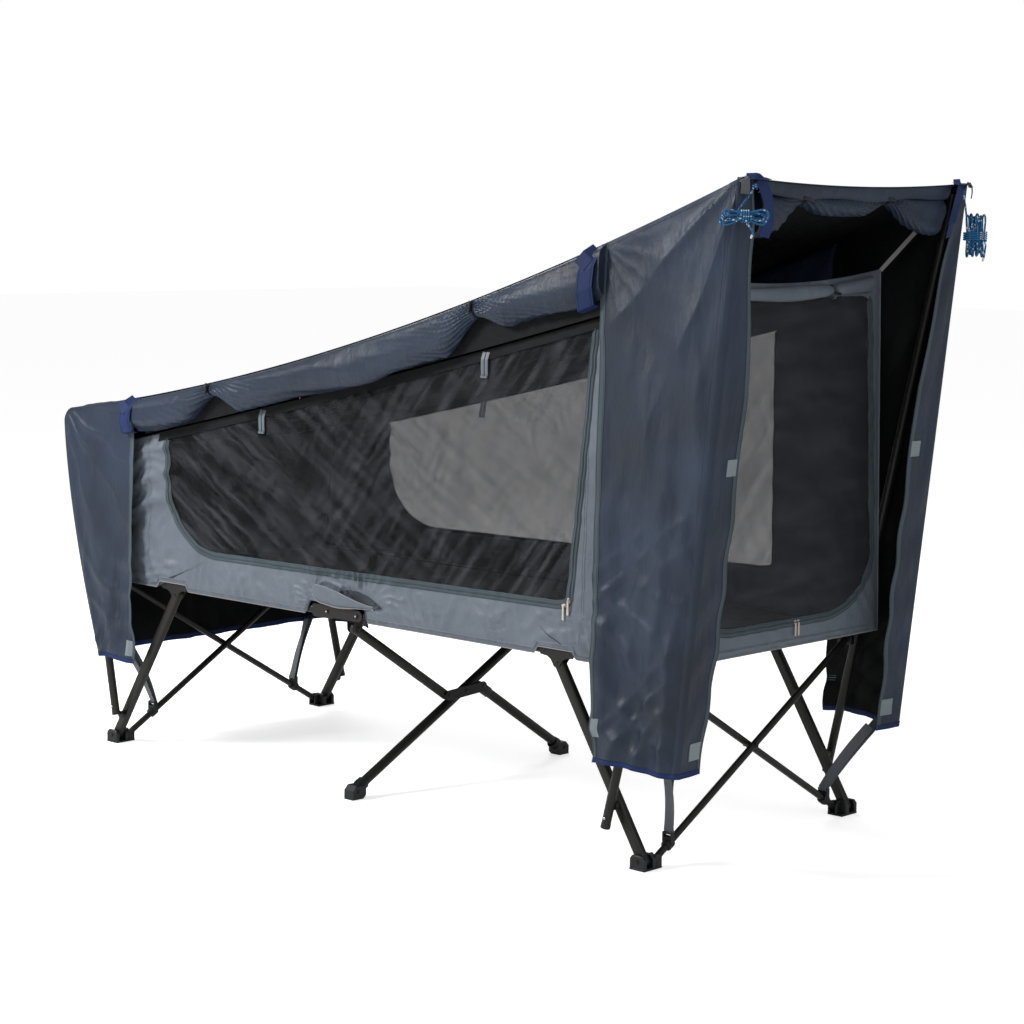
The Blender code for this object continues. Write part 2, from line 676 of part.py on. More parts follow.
def scissor_legs():
    """Leg B runs straight across. Leg A is two tubes joined past it by an offset plate."""
    near_top, far_foot, middle = scissor_points()
    far_top = Vector((0, SIDE_Y, KNUCKLE_Z))
    near_foot = Vector((0, -SIDE_Y, MIDDLE_FOOT_Z))
    bm = rounded_rod(near_foot, far_top, SCISSOR_R, ROUND_SIDES)
    leg_b = add("scissor_leg_b", bm, STEEL, middle)
    side_pin = Vector((PLATE_THICK + RIVET_H, 0, 0))
    across = Vector((OVERRUN, 0, 0))
    cut(leg_b, rod(far_top - across, far_top + across, PIN_R + GAP))
    pivot_reach = Vector((SCISSOR_R, 0, 0))
    union(leg_b, rod(middle + pivot_reach / 2, middle + pivot_reach + side_pin, PIN_R))
    upper_end = middle + Vector((0, -SCISSOR_GAP, -SCISSOR_DROP))
    lower_start = middle + Vector((0, SCISSOR_GAP, SCISSOR_DROP))
    bm = rounded_rod(near_top, upper_end, SCISSOR_R, ROUND_SIDES)
    leg_a_upper = add("scissor_leg_a_upper", bm, STEEL, near_top)
    cut(leg_a_upper, rod(near_top - across, near_top + across, PIN_R + GAP))
    bm = rounded_rod(lower_start, far_foot, SCISSOR_R, ROUND_SIDES)
    leg_a_lower = add("scissor_leg_a_lower", bm, STEEL, near_top)
    along = (far_foot - lower_start).normalized()
    sleeve_start = lower_start + along * SCISSOR_R
    sleeve = rod(sleeve_start, sleeve_start + along * COLLAR_LENGTH, SCISSOR_R + CHEEK, ROUND_SIDES)
    union(leg_a_lower, sleeve)
    plate_x = SCISSOR_R + CHEEK + GAP
    outline = stadium((upper_end.y, upper_end.z), (lower_start.y, lower_start.z), PLATE_HALF)
    bm = prism(outline, "x", plate_x, plate_x + PLATE_THICK)
    plate = add("scissor_offset_plate", bm, STEEL, near_top)
    cut(plate, rod(middle, middle + Vector((OVERRUN * 2, 0, 0)), PIN_R + GAP))
    for place in (upper_end, lower_start):
        reach = Vector((plate_x, 0, 0))
        union(plate, rod(place + reach + Vector((JOIN, 0, 0)), place + reach + side_pin, RIVET_R))
    return leg_b


def middle_foot(side):
    """The angular shoe on the low end of a centre leg."""
    near_foot = Vector((0, -SIDE_Y, MIDDLE_FOOT_Z))
    inner = -SIDE_Y + MIDDLE_SHOE_LENGTH * MIDDLE_SHOE_INNER_SHARE
    outer = inner - MIDDLE_SHOE_LENGTH
    outline = [
        (outer, 0),
        (inner - MIDDLE_SHOE_HEIGHT / 4, 0),
        (inner, MIDDLE_SHOE_HEIGHT / 4),
        (inner, MIDDLE_SHOE_HEIGHT),
        (outer + MIDDLE_SHOE_HEIGHT / 3, MIDDLE_SHOE_HEIGHT),
        (outer, MIDDLE_SHOE_HEIGHT * 2 / 3),
    ]
    bm = prism(outline, "x", -MIDDLE_SHOE_HALF_X, MIDDLE_SHOE_HALF_X)
    shoe = add(f"{side}_middle_foot", mirrored(bm, side), PLASTIC)
    if side == "near":
        start, end = near_foot, Vector((0, SIDE_Y, KNUCKLE_Z))
    else:
        lower_start = scissor_points()[2] + Vector((0, SCISSOR_GAP, SCISSOR_DROP))
        start, end = Vector((0, SIDE_Y, MIDDLE_FOOT_Z)), lower_start
    cut(shoe, rounded_rod(start, end, SCISSOR_R + GAP, ROUND_SIDES))
    for way in (-1, 1):
        edge = way * MIDDLE_SHOE_HALF_X
        inside = (edge - way * JOIN, -SIDE_Y, MIDDLE_FOOT_Z)
        head = rod(inside, (edge + way * BOLT_HEAD_H, -SIDE_Y, MIDDLE_FOOT_Z), BOLT_HEAD_R)
        union(shoe, mirrored(head, side))
    return shoe


def upright(side, end):
    """A round tent pole with plastic caps, and the blind hole of its spring button."""
    low, high = pole_line(end)
    along = (high - low).normalized()
    pole = add(f"{side}_{end}_upright", mirrored(rod(low, high, POLE_R, ROUND_SIDES), side), STEEL)
    lip = POLE_R + POLE_CAP_LIP / 2
    union(pole, mirrored(rod(low - along * JOIN, low + along * POLE_CAP, lip, ROUND_SIDES), side))
    button_at = low + along * BUTTON_ABOVE_END
    face = button_at.y - POLE_R
    hole = rod(
        (button_at.x, face - OVERRUN, button_at.z),
        (button_at.x, face + BUTTON_DEPTH + BUTTON_RISE, button_at.z),
        BUTTON_R + GAP,
    )
    cut(pole, mirrored(hole, side))
    seat = (button_at.x, face + BUTTON_DEPTH - GAP, button_at.z)
    bm = rod((button_at.x, face - BUTTON_RISE, button_at.z), seat, BUTTON_R)
    top = face - BUTTON_RISE / 2
    bevel_edges(
        bm, BUTTON_R / 4, lambda edge: min(v.co.y for v in edge.verts) < top and edge.calc_length() < BUTTON_R
    )
    origin = (button_at.x, SIDES[side] * abs(face), button_at.z)
    add(f"{side}_{end}_spring_button", mirrored(bm, side), CHROME, origin)
    return pole


def roof_edge_z(x):
    """The height of the fly's side edge, which sags between the head and foot uprights."""
    head, foot = FLY_HEAD_X, -FLY_FOOT_X
    a = ((FLY_HEAD_Z - FLY_MID_Z) / head - (FLY_FOOT_Z - FLY_MID_Z) / foot) / (head - foot)
    b = (FLY_HEAD_Z - FLY_MID_Z) / head - a * head
    return FLY_MID_Z + b * x + a * x * x


def foot_wall_x(z):
    """The fly's foot wall leans with the foot uprights."""
    return -lerp(FLY_HEM_X, FLY_FOOT_X, (z - FLY_HEM_Z) / (FLY_FOOT_Z - FLY_HEM_Z))


def canopy_rows():
    """The outer points of the fly's roof and foot wall, hanging in a shallow trough between the edges."""
    steps_roof, steps_wall, steps_y = 14, 5, 8
    rows = []
    roof_end = -FLY_FOOT_X + FLY_TURN
    stations = [(lerp(FLY_HEAD_X, roof_end, i / steps_roof), None) for i in range(steps_roof + 1)]
    turn_z = roof_edge_z(roof_end) - FLY_TURN
    corner = [(math.cos(a), math.sin(a)) for a in (math.radians(60), math.radians(30))]
    for cos_a, sin_a in corner:
        stations.append((roof_end - FLY_TURN * cos_a, turn_z + FLY_TURN * sin_a))
    for i in range(steps_wall + 1):
        z = lerp(turn_z, FLY_HEM_Z, i / steps_wall)
        stations.append((foot_wall_x(z), z))
    for x, z in stations:
        row = []
        for j in range(steps_y + 1):
            share = 2 * j / steps_y - 1
            dip = 1 - share * share
            if z is None:
                ends = 4 * (x - roof_end) * (FLY_HEAD_X - x) / (FLY_HEAD_X - roof_end) ** 2
                height = roof_edge_z(x) - FLY_CROSS_SAG * dip * (0.5 + 0.5 * ends)
                row.append(Vector((x, FLY_EDGE_Y * share, height)))
            else:
                row.append(Vector((x + FLY_CROSS_SAG * dip * FLY_WALL_SAG_SHARE, FLY_EDGE_Y * share, z)))
        rows.append(row)
    return rows


CANOPY = canopy_rows()


def under_canopy(x, y):
    """The roof's underside at a place, read from the solid's own flat facets: its height and steepness."""
    rows = [row for row in CANOPY if row[0].x > -FLY_FOOT_X + FLY_TURN / 2]
    i = next(k for k in range(len(rows) - 1) if rows[k + 1][0].x <= x or k == len(rows) - 2)
    along = (x - rows[i][0].x) / (rows[i + 1][0].x - rows[i][0].x)
    steps = len(rows[0]) - 1
    across = min(max((y / FLY_EDGE_Y + 1) / 2 * steps, 0), steps)
    j = min(int(across), steps - 1)
    heights = [lerp(row[j].z, row[j + 1].z, across - j) for row in (rows[i], rows[i + 1])]
    slope = (heights[1] - heights[0]) / (rows[i + 1][0].x - rows[i][0].x)
    steep = math.sqrt(1 + slope * slope)
    return lerp(heights[0], heights[1], along) - CLOTH * steep, steep


def fly_canopy():
    """The fly's roof and foot wall in one sheet."""
    return sheet("fly_canopy", [list(reversed(row)) for row in CANOPY], CLOTH, FLY_CLOTH)


def hanging_wave(along, share_down):
    """Soft upright folds that deepen towards the free hem."""
    turn = 2 * math.pi * along / PANEL_WAVE_PITCH
    wave = math.sin(turn) + 0.4 * math.sin(turn / 0.61 + 1.0)
    return PANEL_WAVE * (0.15 + 0.85 * share_down) * wave * 0.5


def head_panel_rows():
    """The near corner panel at the head end: it hangs from the roof edge and turns the corner."""
    steps_z, steps_side, steps_wrap = 10, 11, 3
    outer = -FLY_EDGE_Y - GAP
    rows = []
    for i in range(steps_z + 1):
        down = i / steps_z
        low = PANEL_HEM_Z
        corner_x = lerp(FLY_HEAD_X, PANEL_LOW_CORNER_X, down ** 0.9)
        row = []
        for j in range(steps_side + 1):
            x = lerp(PANEL_INNER_X, corner_x, j / steps_side)
            top = roof_edge_z(x) - (CLOTH * PANEL_TOP_SKIN_SHARE if j == steps_side else 0)
            z = lerp(top, low, down)
            edge_fade = math.sin(math.pi * min(1.0, down * 6) / 2) * min(1.0, (steps_side - j) / 3)
            y = outer - abs(hanging_wave(x, down)) * edge_fade
            row.append(Vector((x, y, z)))
        for j in range(1, steps_wrap + 1):
            share = j / steps_wrap
            x = corner_x + CLOTH * PANEL_WRAP_SKIN_SHARE - PANEL_WRAP_BACK * share * down
            z = lerp(roof_edge_z(FLY_HEAD_X) - CLOTH * PANEL_TOP_SKIN_SHARE, low, down)
            row.append(Vector((x, outer + PANEL_WRAP * share, z)))
        rows.append(row)
    return rows


def side_sheet(name, side, rows):
    """A sheet of the near side as it is, or mirrored with its outer face kept outward."""
    if side == "far":
        rows = [[Vector((p.x, -p.y, p.z)) for p in reversed(row)] for row in rows]
    return sheet(name, [list(reversed(row)) for row in rows], CLOTH, FLY_CLOTH)


def foot_panel(side):
    """The fly's corner panel at the foot end, between the roof edge, the foot wall and the side door."""
    steps_z, steps_x = 10, 7
    outer = -FLY_EDGE_Y - GAP
    rows = []
    for i in range(steps_z + 1):
        down = i / steps_z
        row = []
        for j in range(steps_x + 1):
            across = j / steps_x
            x_top = lerp(-FLY_FOOT_X + FLY_TURN / 2, -PANEL_FOOT_X, across)
            z = lerp(roof_edge_z(x_top), PANEL_FOOT_HEM_Z, down)
            x = lerp(foot_wall_x(z), -PANEL_FOOT_X, across)
            fade = math.sin(math.pi * min(1.0, down * 6) / 2) * math.sin(math.pi * min(1.0, across * 3) / 2)
            row.append(Vector((x, outer - abs(hanging_wave(x, down)) * fade, z)))
        rows.append(row)
    return side_sheet(f"fly_{side}_foot_panel", side, rows)


def tie_pinch(along, ties):
    nearest = min(abs(along - tie) for tie in ties)
    return lerp(ROLL_TIE_SHARE, 1.0, min(1.0, nearest / ROLL_TIE_WIDTH))


def side_door_roll(side):
    """The side door of the fly, rolled up under the roof edge and held by two ties."""
    rings = []
    steps = 26
    for i in range(steps + 1):
        x = lerp(-ROLL_FOOT_X, ROLL_HEAD_X, i / steps)
        slack = tie_pinch(x, ROLL_TIES_X)
        half_z = ROLL_HALF_Z * slack
        centre = Vector((x, -ROLL_Y, under_canopy(x, -ROLL_Y)[0] - GAP * 3 - half_z))
        half_y = ROLL_HALF_Y * lerp(0.6, 1.0, slack)
        rings.append(ring(centre, Vector((0, 1, 0)), Vector((0, 0, 1)), half_y, half_z, TUBE_SIDES))
    return add(f"{side}_door_roll", mirrored(loft(rings), side), FLY_CLOTH)


def head_door_roll():
    """The head door of the fly, rolled up between the head uprights."""
    rings = []
    steps = 16
    for i in range(steps + 1):
        y = lerp(-HEAD_ROLL_HALF_Y, HEAD_ROLL_HALF_Y, i / steps)
        slack = tie_pinch(y, HEAD_ROLL_TIES_Y)
        roof, steep = under_canopy(HEAD_ROLL_X, y)
        radius = HEAD_ROLL_R * slack
        centre = Vector((HEAD_ROLL_X, y, roof - (GAP + radius) * steep))
        rings.append(ring(centre, Vector((1, 0, 0)), Vector((0, 0, 1)), radius, radius, TUBE_SIDES))
    return add("head_door_roll", loft(rings), FLY_CLOTH)


def inner_roof_z(x):
    share = (x + INNER_FOOT_TOP[0]) / (INNER_HEAD_TOP[0] + INNER_FOOT_TOP[0])
    return lerp(INNER_FOOT_TOP[1], INNER_HEAD_TOP[1], share) - INNER_ROOF_SAG * 4 * share * (1 - share)


def door_outline(inset=0.0):
    """The side door of the inner tent: a slope along the top, a big round corner low at the foot end."""
    foot_x = -DOOR_FOOT_X + inset
    bottom = DOOR_BOTTOM_Z + inset
    radius = DOOR_CORNER_R - inset
    outline = arc((foot_x + radius, bottom + radius), radius, 180, 270, 10)
    outline += [(DOOR_HEAD_LOW_X - inset, bottom + DOOR_BOTTOM_RISE)]
    outline += [(DOOR_HEAD_HIGH_X - inset, inner_roof_z(DOOR_HEAD_HIGH_X) - DOOR_TOP_BAND - inset)]
    steps = 6
    for i in range(1, steps + 1):
        x = lerp(DOOR_HEAD_HIGH_X - inset, foot_x, i / steps)
        outline.append((x, inner_roof_z(x) - DOOR_TOP_BAND - inset))
    return outline


def inner_side_wall(side):
    """The long wall of the inner tent, cut out for its door and for the metal brackets below."""
    outline = [(-WALL_FOOT_X, HEM_Z), (WALL_HEAD_X, HEM_Z)]
    steps = 8
    for i in range(steps + 1):
        x = lerp(INNER_HEAD_TOP[0], -INNER_FOOT_TOP[0], i / steps)
        outline.append((x, inner_roof_z(x)))
    bm = prism(outline, "y", -WALL_SKIN_Y, -WALL_Y)
    wall = add(f"inner_{side}_wall", mirrored(bm, side), INNER_CLOTH)
    cut(wall, mirrored(prism(door_outline(), "y", -WALL_SKIN_Y - OVERRUN, -WALL_Y + OVERRUN), side))
    notches = [(-BRACKET_FOOT_X - NOTCH_SIDE, BRACKET_HEAD_X + NOTCH_SIDE, NOTCH_TOP_Z)]
    end_start = RAIL_END_X - LUG_NECK_X - NOTCH_SIDE
    notches.append((end_start, WALL_HEAD_X + OVERRUN, NOTCH_TOP_Z))
    notches.append((-WALL_FOOT_X - OVERRUN, -end_start, NOTCH_TOP_Z))
    for way in (-1, 1):
        reach = SADDLE_HALF_LENGTH + NOTCH_SIDE
        notches.append((way * LEG_TOP_X - reach, way * LEG_TOP_X + reach, SADDLE_NOTCH_TOP_Z))
    for start, stop, top in notches:
        notch = box((start, -WALL_SKIN_Y - OVERRUN, HEM_Z - OVERRUN), (stop, -WALL_Y + OVERRUN, top))
        cut(wall, mirrored(notch, side))
    return wall


def side_net(side):
    """The netting of the side door."""
    middle = -WALL_Y - CLOTH / 2
    bm = prism(door_outline(MESH_GAP), "y", middle - MESH_THICK / 2, middle + MESH_THICK / 2)
    return add(f"{side}_door_net", mirrored(bm, side), NET)


def head_door_outline(inset=0.0):
    half = HEAD_DOOR_HALF_Y - inset
    low = HEAD_DOOR_BOTTOM_Z + inset
    high = HEAD_DOOR_TOP_Z - inset
    big = HEAD_DOOR_CORNER_R - inset
    small = HEAD_DOOR_TOP_R - inset
    return (
        arc((-half + big, low + big), big, 180, 270, 8)
        + arc((half - big, low + big), big, 270, 360, 8)
        + arc((half - small, high - small), small, 0, 90, 3)
        + arc((-half + small, high - small), small, 90, 180, 3)
    )


def head_wall_x(z):
    """The inner head wall leans a little towards the foot end as it rises."""
    return lerp(WALL_HEAD_X, INNER_HEAD_TOP[0], (z - HEM_Z) / (INNER_HEAD_TOP[1] - HEM_Z))


def inner_shell():
    """The inner tent's head wall, roof and foot wall in one sheet, with the head door cut out."""
    half = WALL_Y - GAP
    path = [Vector((WALL_HEAD_X, 0, HEM_Z)), Vector((INNER_HEAD_TOP[0], 0, INNER_HEAD_TOP[1]))]
    steps = 10
    for i in range(1, steps + 1):
        x = lerp(INNER_HEAD_TOP[0], -INNER_FOOT_TOP[0], i / steps)
        path.append(Vector((x, 0, inner_roof_z(x))))
    path.append(Vector((-WALL_FOOT_X, 0, HEM_Z)))
    inner = []
    for i, point in enumerate(path):
        before = (point - path[i - 1]).normalized() if i else None
        after = (path[i + 1] - point).normalized() if i + 1 < len(path) else None
        turn = [way for way in (before, after) if way is not None]
        normals = [Vector((-way.z, 0, way.x)) for way in turn]
        total = sum(normals, Vector()).normalized()
        inner.append(point + total * (CLOTH / max(0.5, total.dot(normals[0]))))
    outline = [(p.x, p.z) for p in path] + [(p.x, p.z) for p in reversed(inner)]
    shell = add("inner_shell", prism(outline, "y", -half, half), INNER_CLOTH)
    low = WALL_HEAD_X - DOOR_CORNER_R
    cut(shell, prism(head_door_outline(), "x", low, WALL_HEAD_X + OVERRUN))
    return shell


def head_net():
    """The netting of the head door, on the lean of its wall."""
    bm = prism(head_door_outline(MESH_GAP), "x", 0, MESH_THICK)
    for vert in bm.verts:
        vert.co.x += head_wall_x(vert.co.z) - CLOTH / 2 - MESH_THICK / 2
    return add("head_door_net", bm, NET)


def bed_deck():
    """The bed cloth between the rails, which hangs a little in its middle."""
    steps_x, steps_y = 10, 8
    rows = []
    for i in range(steps_x + 1):
        x = lerp(-DECK_HALF_X, DECK_HALF_X, i / steps_x)
        row = []
        for j in range(steps_y + 1):
            share = 2 * j / steps_y - 1
            along = x / DECK_HALF_X
            sag = DECK_SAG * (1 - share * share) * (1 - along * along)
            row.append(Vector((x, DECK_HALF_Y * share, RAIL_Z + DECK_RISE + CLOTH - sag)))
        rows.append(row)
    return sheet("bed_deck", rows, CLOTH, BED_CLOTH)


def strap(side, end, clip_top_z, clip_y):
    """Webbing from the fly's corner down to its clip."""
    way = ENDS[end]
    x = way * FOOT_X + tube_offset(side, end)
    low = Vector((x, clip_y, clip_top_z + STRAP_THICK * STRAP_SEAT_SHARE))
    high = Vector((PANEL_LOW_CORNER_X - PANEL_WRAP_BACK, -FLY_EDGE_Y + STRAP_WIDTH, STRAP_TOP_Z))
    if end == "foot":
        high = Vector((-FOOT_STRAP_TOP[0], -FOOT_STRAP_TOP[1], FOOT_STRAP_TOP[2]))
    across = Vector((1, 0, 0)) * (STRAP_WIDTH / 2)
    steps = 6
    rows = []
    for i in range(steps + 1):
        share = i / steps
        place = low.lerp(high, share)
        place.y += STRAP_WIDTH * STRAP_SLACK_SHARE * math.sin(math.pi * share)
        rows.append([place - across, place + across])
    made = sheet(f"{side}_{end}_strap", rows, STRAP_THICK, WEBBING)
    if side == "far":
        for vert in made.data.vertices:
            vert.co.y = -vert.co.y
        made.data.flip_normals()
    return made


def hank_points(start):
    """One unbroken cord: a drop from the corner, then loops that lie beside each other."""
    points = []
    drop_steps = 5
    for i in range(drop_steps):
        share = i / drop_steps
        points.append(start + Vector((ROPE_OUT[0] * share, ROPE_OUT[1] * share, -ROPE_DROP * share)))
    per_loop = 20
    top = start + Vector((ROPE_OUT[0], ROPE_OUT[1], -ROPE_DROP - HANK_LOOP_HALF))
    total = HANK_LOOPS * per_loop
    facing = math.radians(HANK_FACING_DEG)
    run_way = Vector((math.cos(facing), math.sin(facing), 0))
    stack_way = Vector((math.sin(facing), -math.cos(facing), 0))
    for i in range(total + 1):
        turn = 2 * math.pi * i / per_loop
        run = HANK_RUN / 2
        reach = run * math.sin(turn)
        waist = 1 - HANK_WAIST / HANK_LOOP_HALF * (1 - abs(math.sin(turn)))
        z = HANK_LOOP_HALF * math.cos(turn) * waist
        points.append(top + run_way * reach + stack_way * (HANK_PITCH * i / per_loop) + Vector((0, 0, z)))
    return points


def guy_rope(side):
    """A guy rope tied up as a hank under the head corner."""
    rows = head_panel_rows()
    top, below = rows[0][-3], rows[1][-3]
    height = top.z - ROPE_START_DROP
    face_x = lerp(top.x, below.x, (height - top.z) / (below.z - top.z))
    start = Vector((face_x + CLOTH + ROPE_D / 2 + GAP, top.y, height))
    points = hank_points(start)
    if side == "far":
        points = [Vector((p.x, -p.y, p.z)) for p in points]
    curve = bpy.data.curves.new(f"{side}_guy_rope", "CURVE")
    curve.dimensions = "3D"
    curve.bevel_depth = ROPE_D / 2
    curve.bevel_resolution = 1
    curve.use_fill_caps = True
    spline = curve.splines.new("POLY")
    spline.points.add(len(points) - 1)
    for target, point in zip(spline.points, points):
        target.co = (*point, 1.0)
    curve.materials.append(ROPE)
    made = bpy.data.objects.new(f"{side}_guy_rope", curve)
    bpy.context.scene.collection.objects.link(made)
    least = min(
        (points[i] - points[j]).length
        for i in range(len(points))
        for j in range(i + 6, len(points))
    )
    print(f"{side} guy rope: least gap to itself {1000 * (least - ROPE_D):.2f} mm")
    return made


def zip_slider(name, along_zip):
    """A zip slider with its pull tab hanging."""
    corner = Vector((DOOR_HEAD_LOW_X, -WALL_SKIN_Y - GAP, DOOR_BOTTOM_Z + DOOR_BOTTOM_RISE))
    direction = Vector(along_zip).normalized()
    centre = corner + direction * SLIDER_LENGTH
    bm = box(
        (centre.x - SLIDER_WIDTH / 2, centre.y - SLIDER_THICK, centre.z - SLIDER_LENGTH / 2),
        (centre.x + SLIDER_WIDTH / 2, centre.y, centre.z + SLIDER_LENGTH / 2),
    )
    bevel_edges(bm, SLIDER_THICK / 4)
    slider = add(name, bm, NICKEL, centre)
    outer = centre.y - SLIDER_THICK
    pull = box(
        (centre.x - PULL_WIDTH / 2, outer - PULL_THICK / 2, centre.z - SLIDER_LENGTH / 4 - PULL_LENGTH),
        (centre.x + PULL_WIDTH / 2, outer + PULL_THICK / 2, centre.z + SLIDER_LENGTH / 4),
    )
    return union(slider, pull)


def guard_flap():
    """The cloth flap that keeps fingers out of the near hinge."""
    tilt = math.radians(FLAP_TILT_DEG)
    outline = []
    for x, z in arc((0, 0), 1.0, 0, 360 - 15, 23):
        a, b = x * FLAP_HALF[0], z * FLAP_HALF[1]
        outline.append(
            (
                FLAP_CENTRE[0] + a * math.cos(tilt) - b * math.sin(tilt),
                FLAP_CENTRE[1] + a * math.sin(tilt) + b * math.cos(tilt),
            )
        )
    back = -WALL_SKIN_Y - GAP
    bm = prism(outline, "y", back - CLOTH, back)
    return add("hinge_guard_flap", bm, INNER_CLOTH)


for side_name in SIDES:
    hinge_bracket(side_name)
    middle_foot(side_name)
    inner_side_wall(side_name)
    side_net(side_name)
    side_door_roll(side_name)
    side_sheet(f"fly_{side_name}_head_panel", side_name, head_panel_rows())
    foot_panel(side_name)
    guy_rope(side_name)
    for end_name in ENDS:
        side_rail(side_name, end_name)
        corner_leg(side_name, end_name)
        corner_foot(side_name, end_name)
        cross_tube(side_name, end_name)
        upright(side_name, end_name)
        clip_made, clip_top, clip_mid_y = strap_clip(side_name, end_name)
        strap(side_name, end_name, clip_top, clip_mid_y)
scissor_legs()
fly_canopy()
head_door_roll()
inner_shell()
head_net()
bed_deck()
guard_flap()
zip_slider("side_zip_slider", (DOOR_HEAD_LEAN, 0, inner_roof_z(DOOR_HEAD_HIGH_X) - DOOR_BOTTOM_Z))
zip_slider("bottom_zip_slider", (-1.0, 0, 0))

for made in bpy.data.objects:
    if made.location.length > 0:
        made.location.x -= ORIGIN_X
    else:
        made.data.transform(Matrix.Translation((-ORIGIN_X, 0, 0)))
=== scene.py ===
"""The look of the tent cot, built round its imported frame. Metres, +Z up, the near side is -Y."""

import math

import bpy
import numpy as np
from mathutils import Matrix, Vector


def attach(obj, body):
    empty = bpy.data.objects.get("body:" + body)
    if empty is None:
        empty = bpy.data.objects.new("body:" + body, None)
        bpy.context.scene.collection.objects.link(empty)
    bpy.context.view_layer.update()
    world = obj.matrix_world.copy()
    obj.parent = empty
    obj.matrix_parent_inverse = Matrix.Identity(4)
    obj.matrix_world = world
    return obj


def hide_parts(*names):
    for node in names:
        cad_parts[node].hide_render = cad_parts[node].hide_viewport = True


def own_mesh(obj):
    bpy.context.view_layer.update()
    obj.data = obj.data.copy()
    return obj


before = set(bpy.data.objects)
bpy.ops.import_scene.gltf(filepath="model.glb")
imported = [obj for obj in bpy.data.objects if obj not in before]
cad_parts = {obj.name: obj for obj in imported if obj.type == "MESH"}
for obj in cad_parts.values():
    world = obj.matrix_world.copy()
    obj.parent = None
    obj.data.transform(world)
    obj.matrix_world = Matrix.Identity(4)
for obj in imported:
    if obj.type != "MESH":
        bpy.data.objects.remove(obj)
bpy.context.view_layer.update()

# Sizes shared with the solids
FOOT_X, SIDE_Y, RAIL_Z, RAIL_R = 0.965, 0.392, 0.475, 0.0125
RAIL_END_X, FOOT_Z = 0.968, 0.022
LEG_TOP_X, LEG_TOP_Z = 0.700, 0.447
LEG_HALF, LEG_THICK = 0.014, 0.020
CROSS_R, CROSS_Y, CROSS_TOP_Z, CROSS_STEP = 0.0085, 0.358, 0.446, 0.0095
SCISSOR_R, KNUCKLE_Z, MIDDLE_Z = 0.0125, 0.440, 0.020
SCISSOR_GAP, SCISSOR_DROP = 0.064, 0.004
POLE_R = 0.011
POLES = {
    "head": (np.array([0.880, -0.4275, 0.088]), np.array([1.2186, -0.4045, 1.5487])),
    "foot": (np.array([-0.926, -0.4275, 0.086]), np.array([-1.1151, -0.4045, 0.8849])),
}
BRACKET_FOOT_X, BRACKET_HEAD_X = 0.142, 0.042
BRACKET_BOLTS_X = (-0.086, 0.022)
FLY_Y, FLY_HEAD_X, FLY_FOOT_X = 0.437, 1.243, 1.140
FLY_MID_Z, FLY_FOOT_Z = 1.155, 0.928
FLY_HEM_X, FLY_HEM_Z, FLY_TURN = 0.994, 0.258, 0.045
HEM_Z, WALL_Y, WALL_HEAD_X, WALL_FOOT_X = 0.462, 0.407, 1.040, 0.984
INNER_HEAD, INNER_FOOT = (1.018, 1.362), (0.936, 0.846)
HEAD_HALF, HEAD_HEM_Z, HEAD_SAG = 0.4005, 0.475, 0.030
SIDES = {"near": -1, "far": 1}
ENDS = {"foot": -1, "head": 1}
BODIES = {"near": "near_side", "far": "far_side"}
CLOTH = 0.0009
ROPE_R = 0.00225
STRAP_W, STRAP_THICK = 0.0245, 0.0014
PANEL_LIFT, PANEL_DROP = 0.0006, 0.0003
SHARP_DEG = 40.0

# Everything is placed from the hinges, and moved to the part's origin as it becomes an object
ORIGIN_X = 0.0539

# The pieces that span the bed: the side they hold on to, and the share of their width left when folded
SPANS = {"inner": (0.405, 0.6884), "fly": (0.437, 0.7128), "bed": (0.3765, 0.6667)}

# The two ways of each plane that outlines are drawn in
ZERO = (0, 0, 0)
XY, XZ, YZ = ((1, 0, 0), (0, 1, 0)), ((1, 0, 0), (0, 0, 1)), ((0, 1, 0), (0, 0, 1))

# Rows of small pieces along a line: pitch, length, radius and flatness
LONG_STITCH = (0.0034, 0.0024, 0.0004)
DOOR_COIL = (0.0019, 0.0012, 0.0021, 0.6)
PANEL_COIL = (0.0019, 0.0012, 0.0019, 0.7)


def hex_colour(text):
    """A screen colour as the linear values that a shader takes."""
    parts = [byte / 255 for byte in bytes.fromhex(text)]
    return (*[p / 12.92 if p <= 0.04045 else ((p + 0.055) / 1.055) ** 2.4 for p in parts], 1.0)


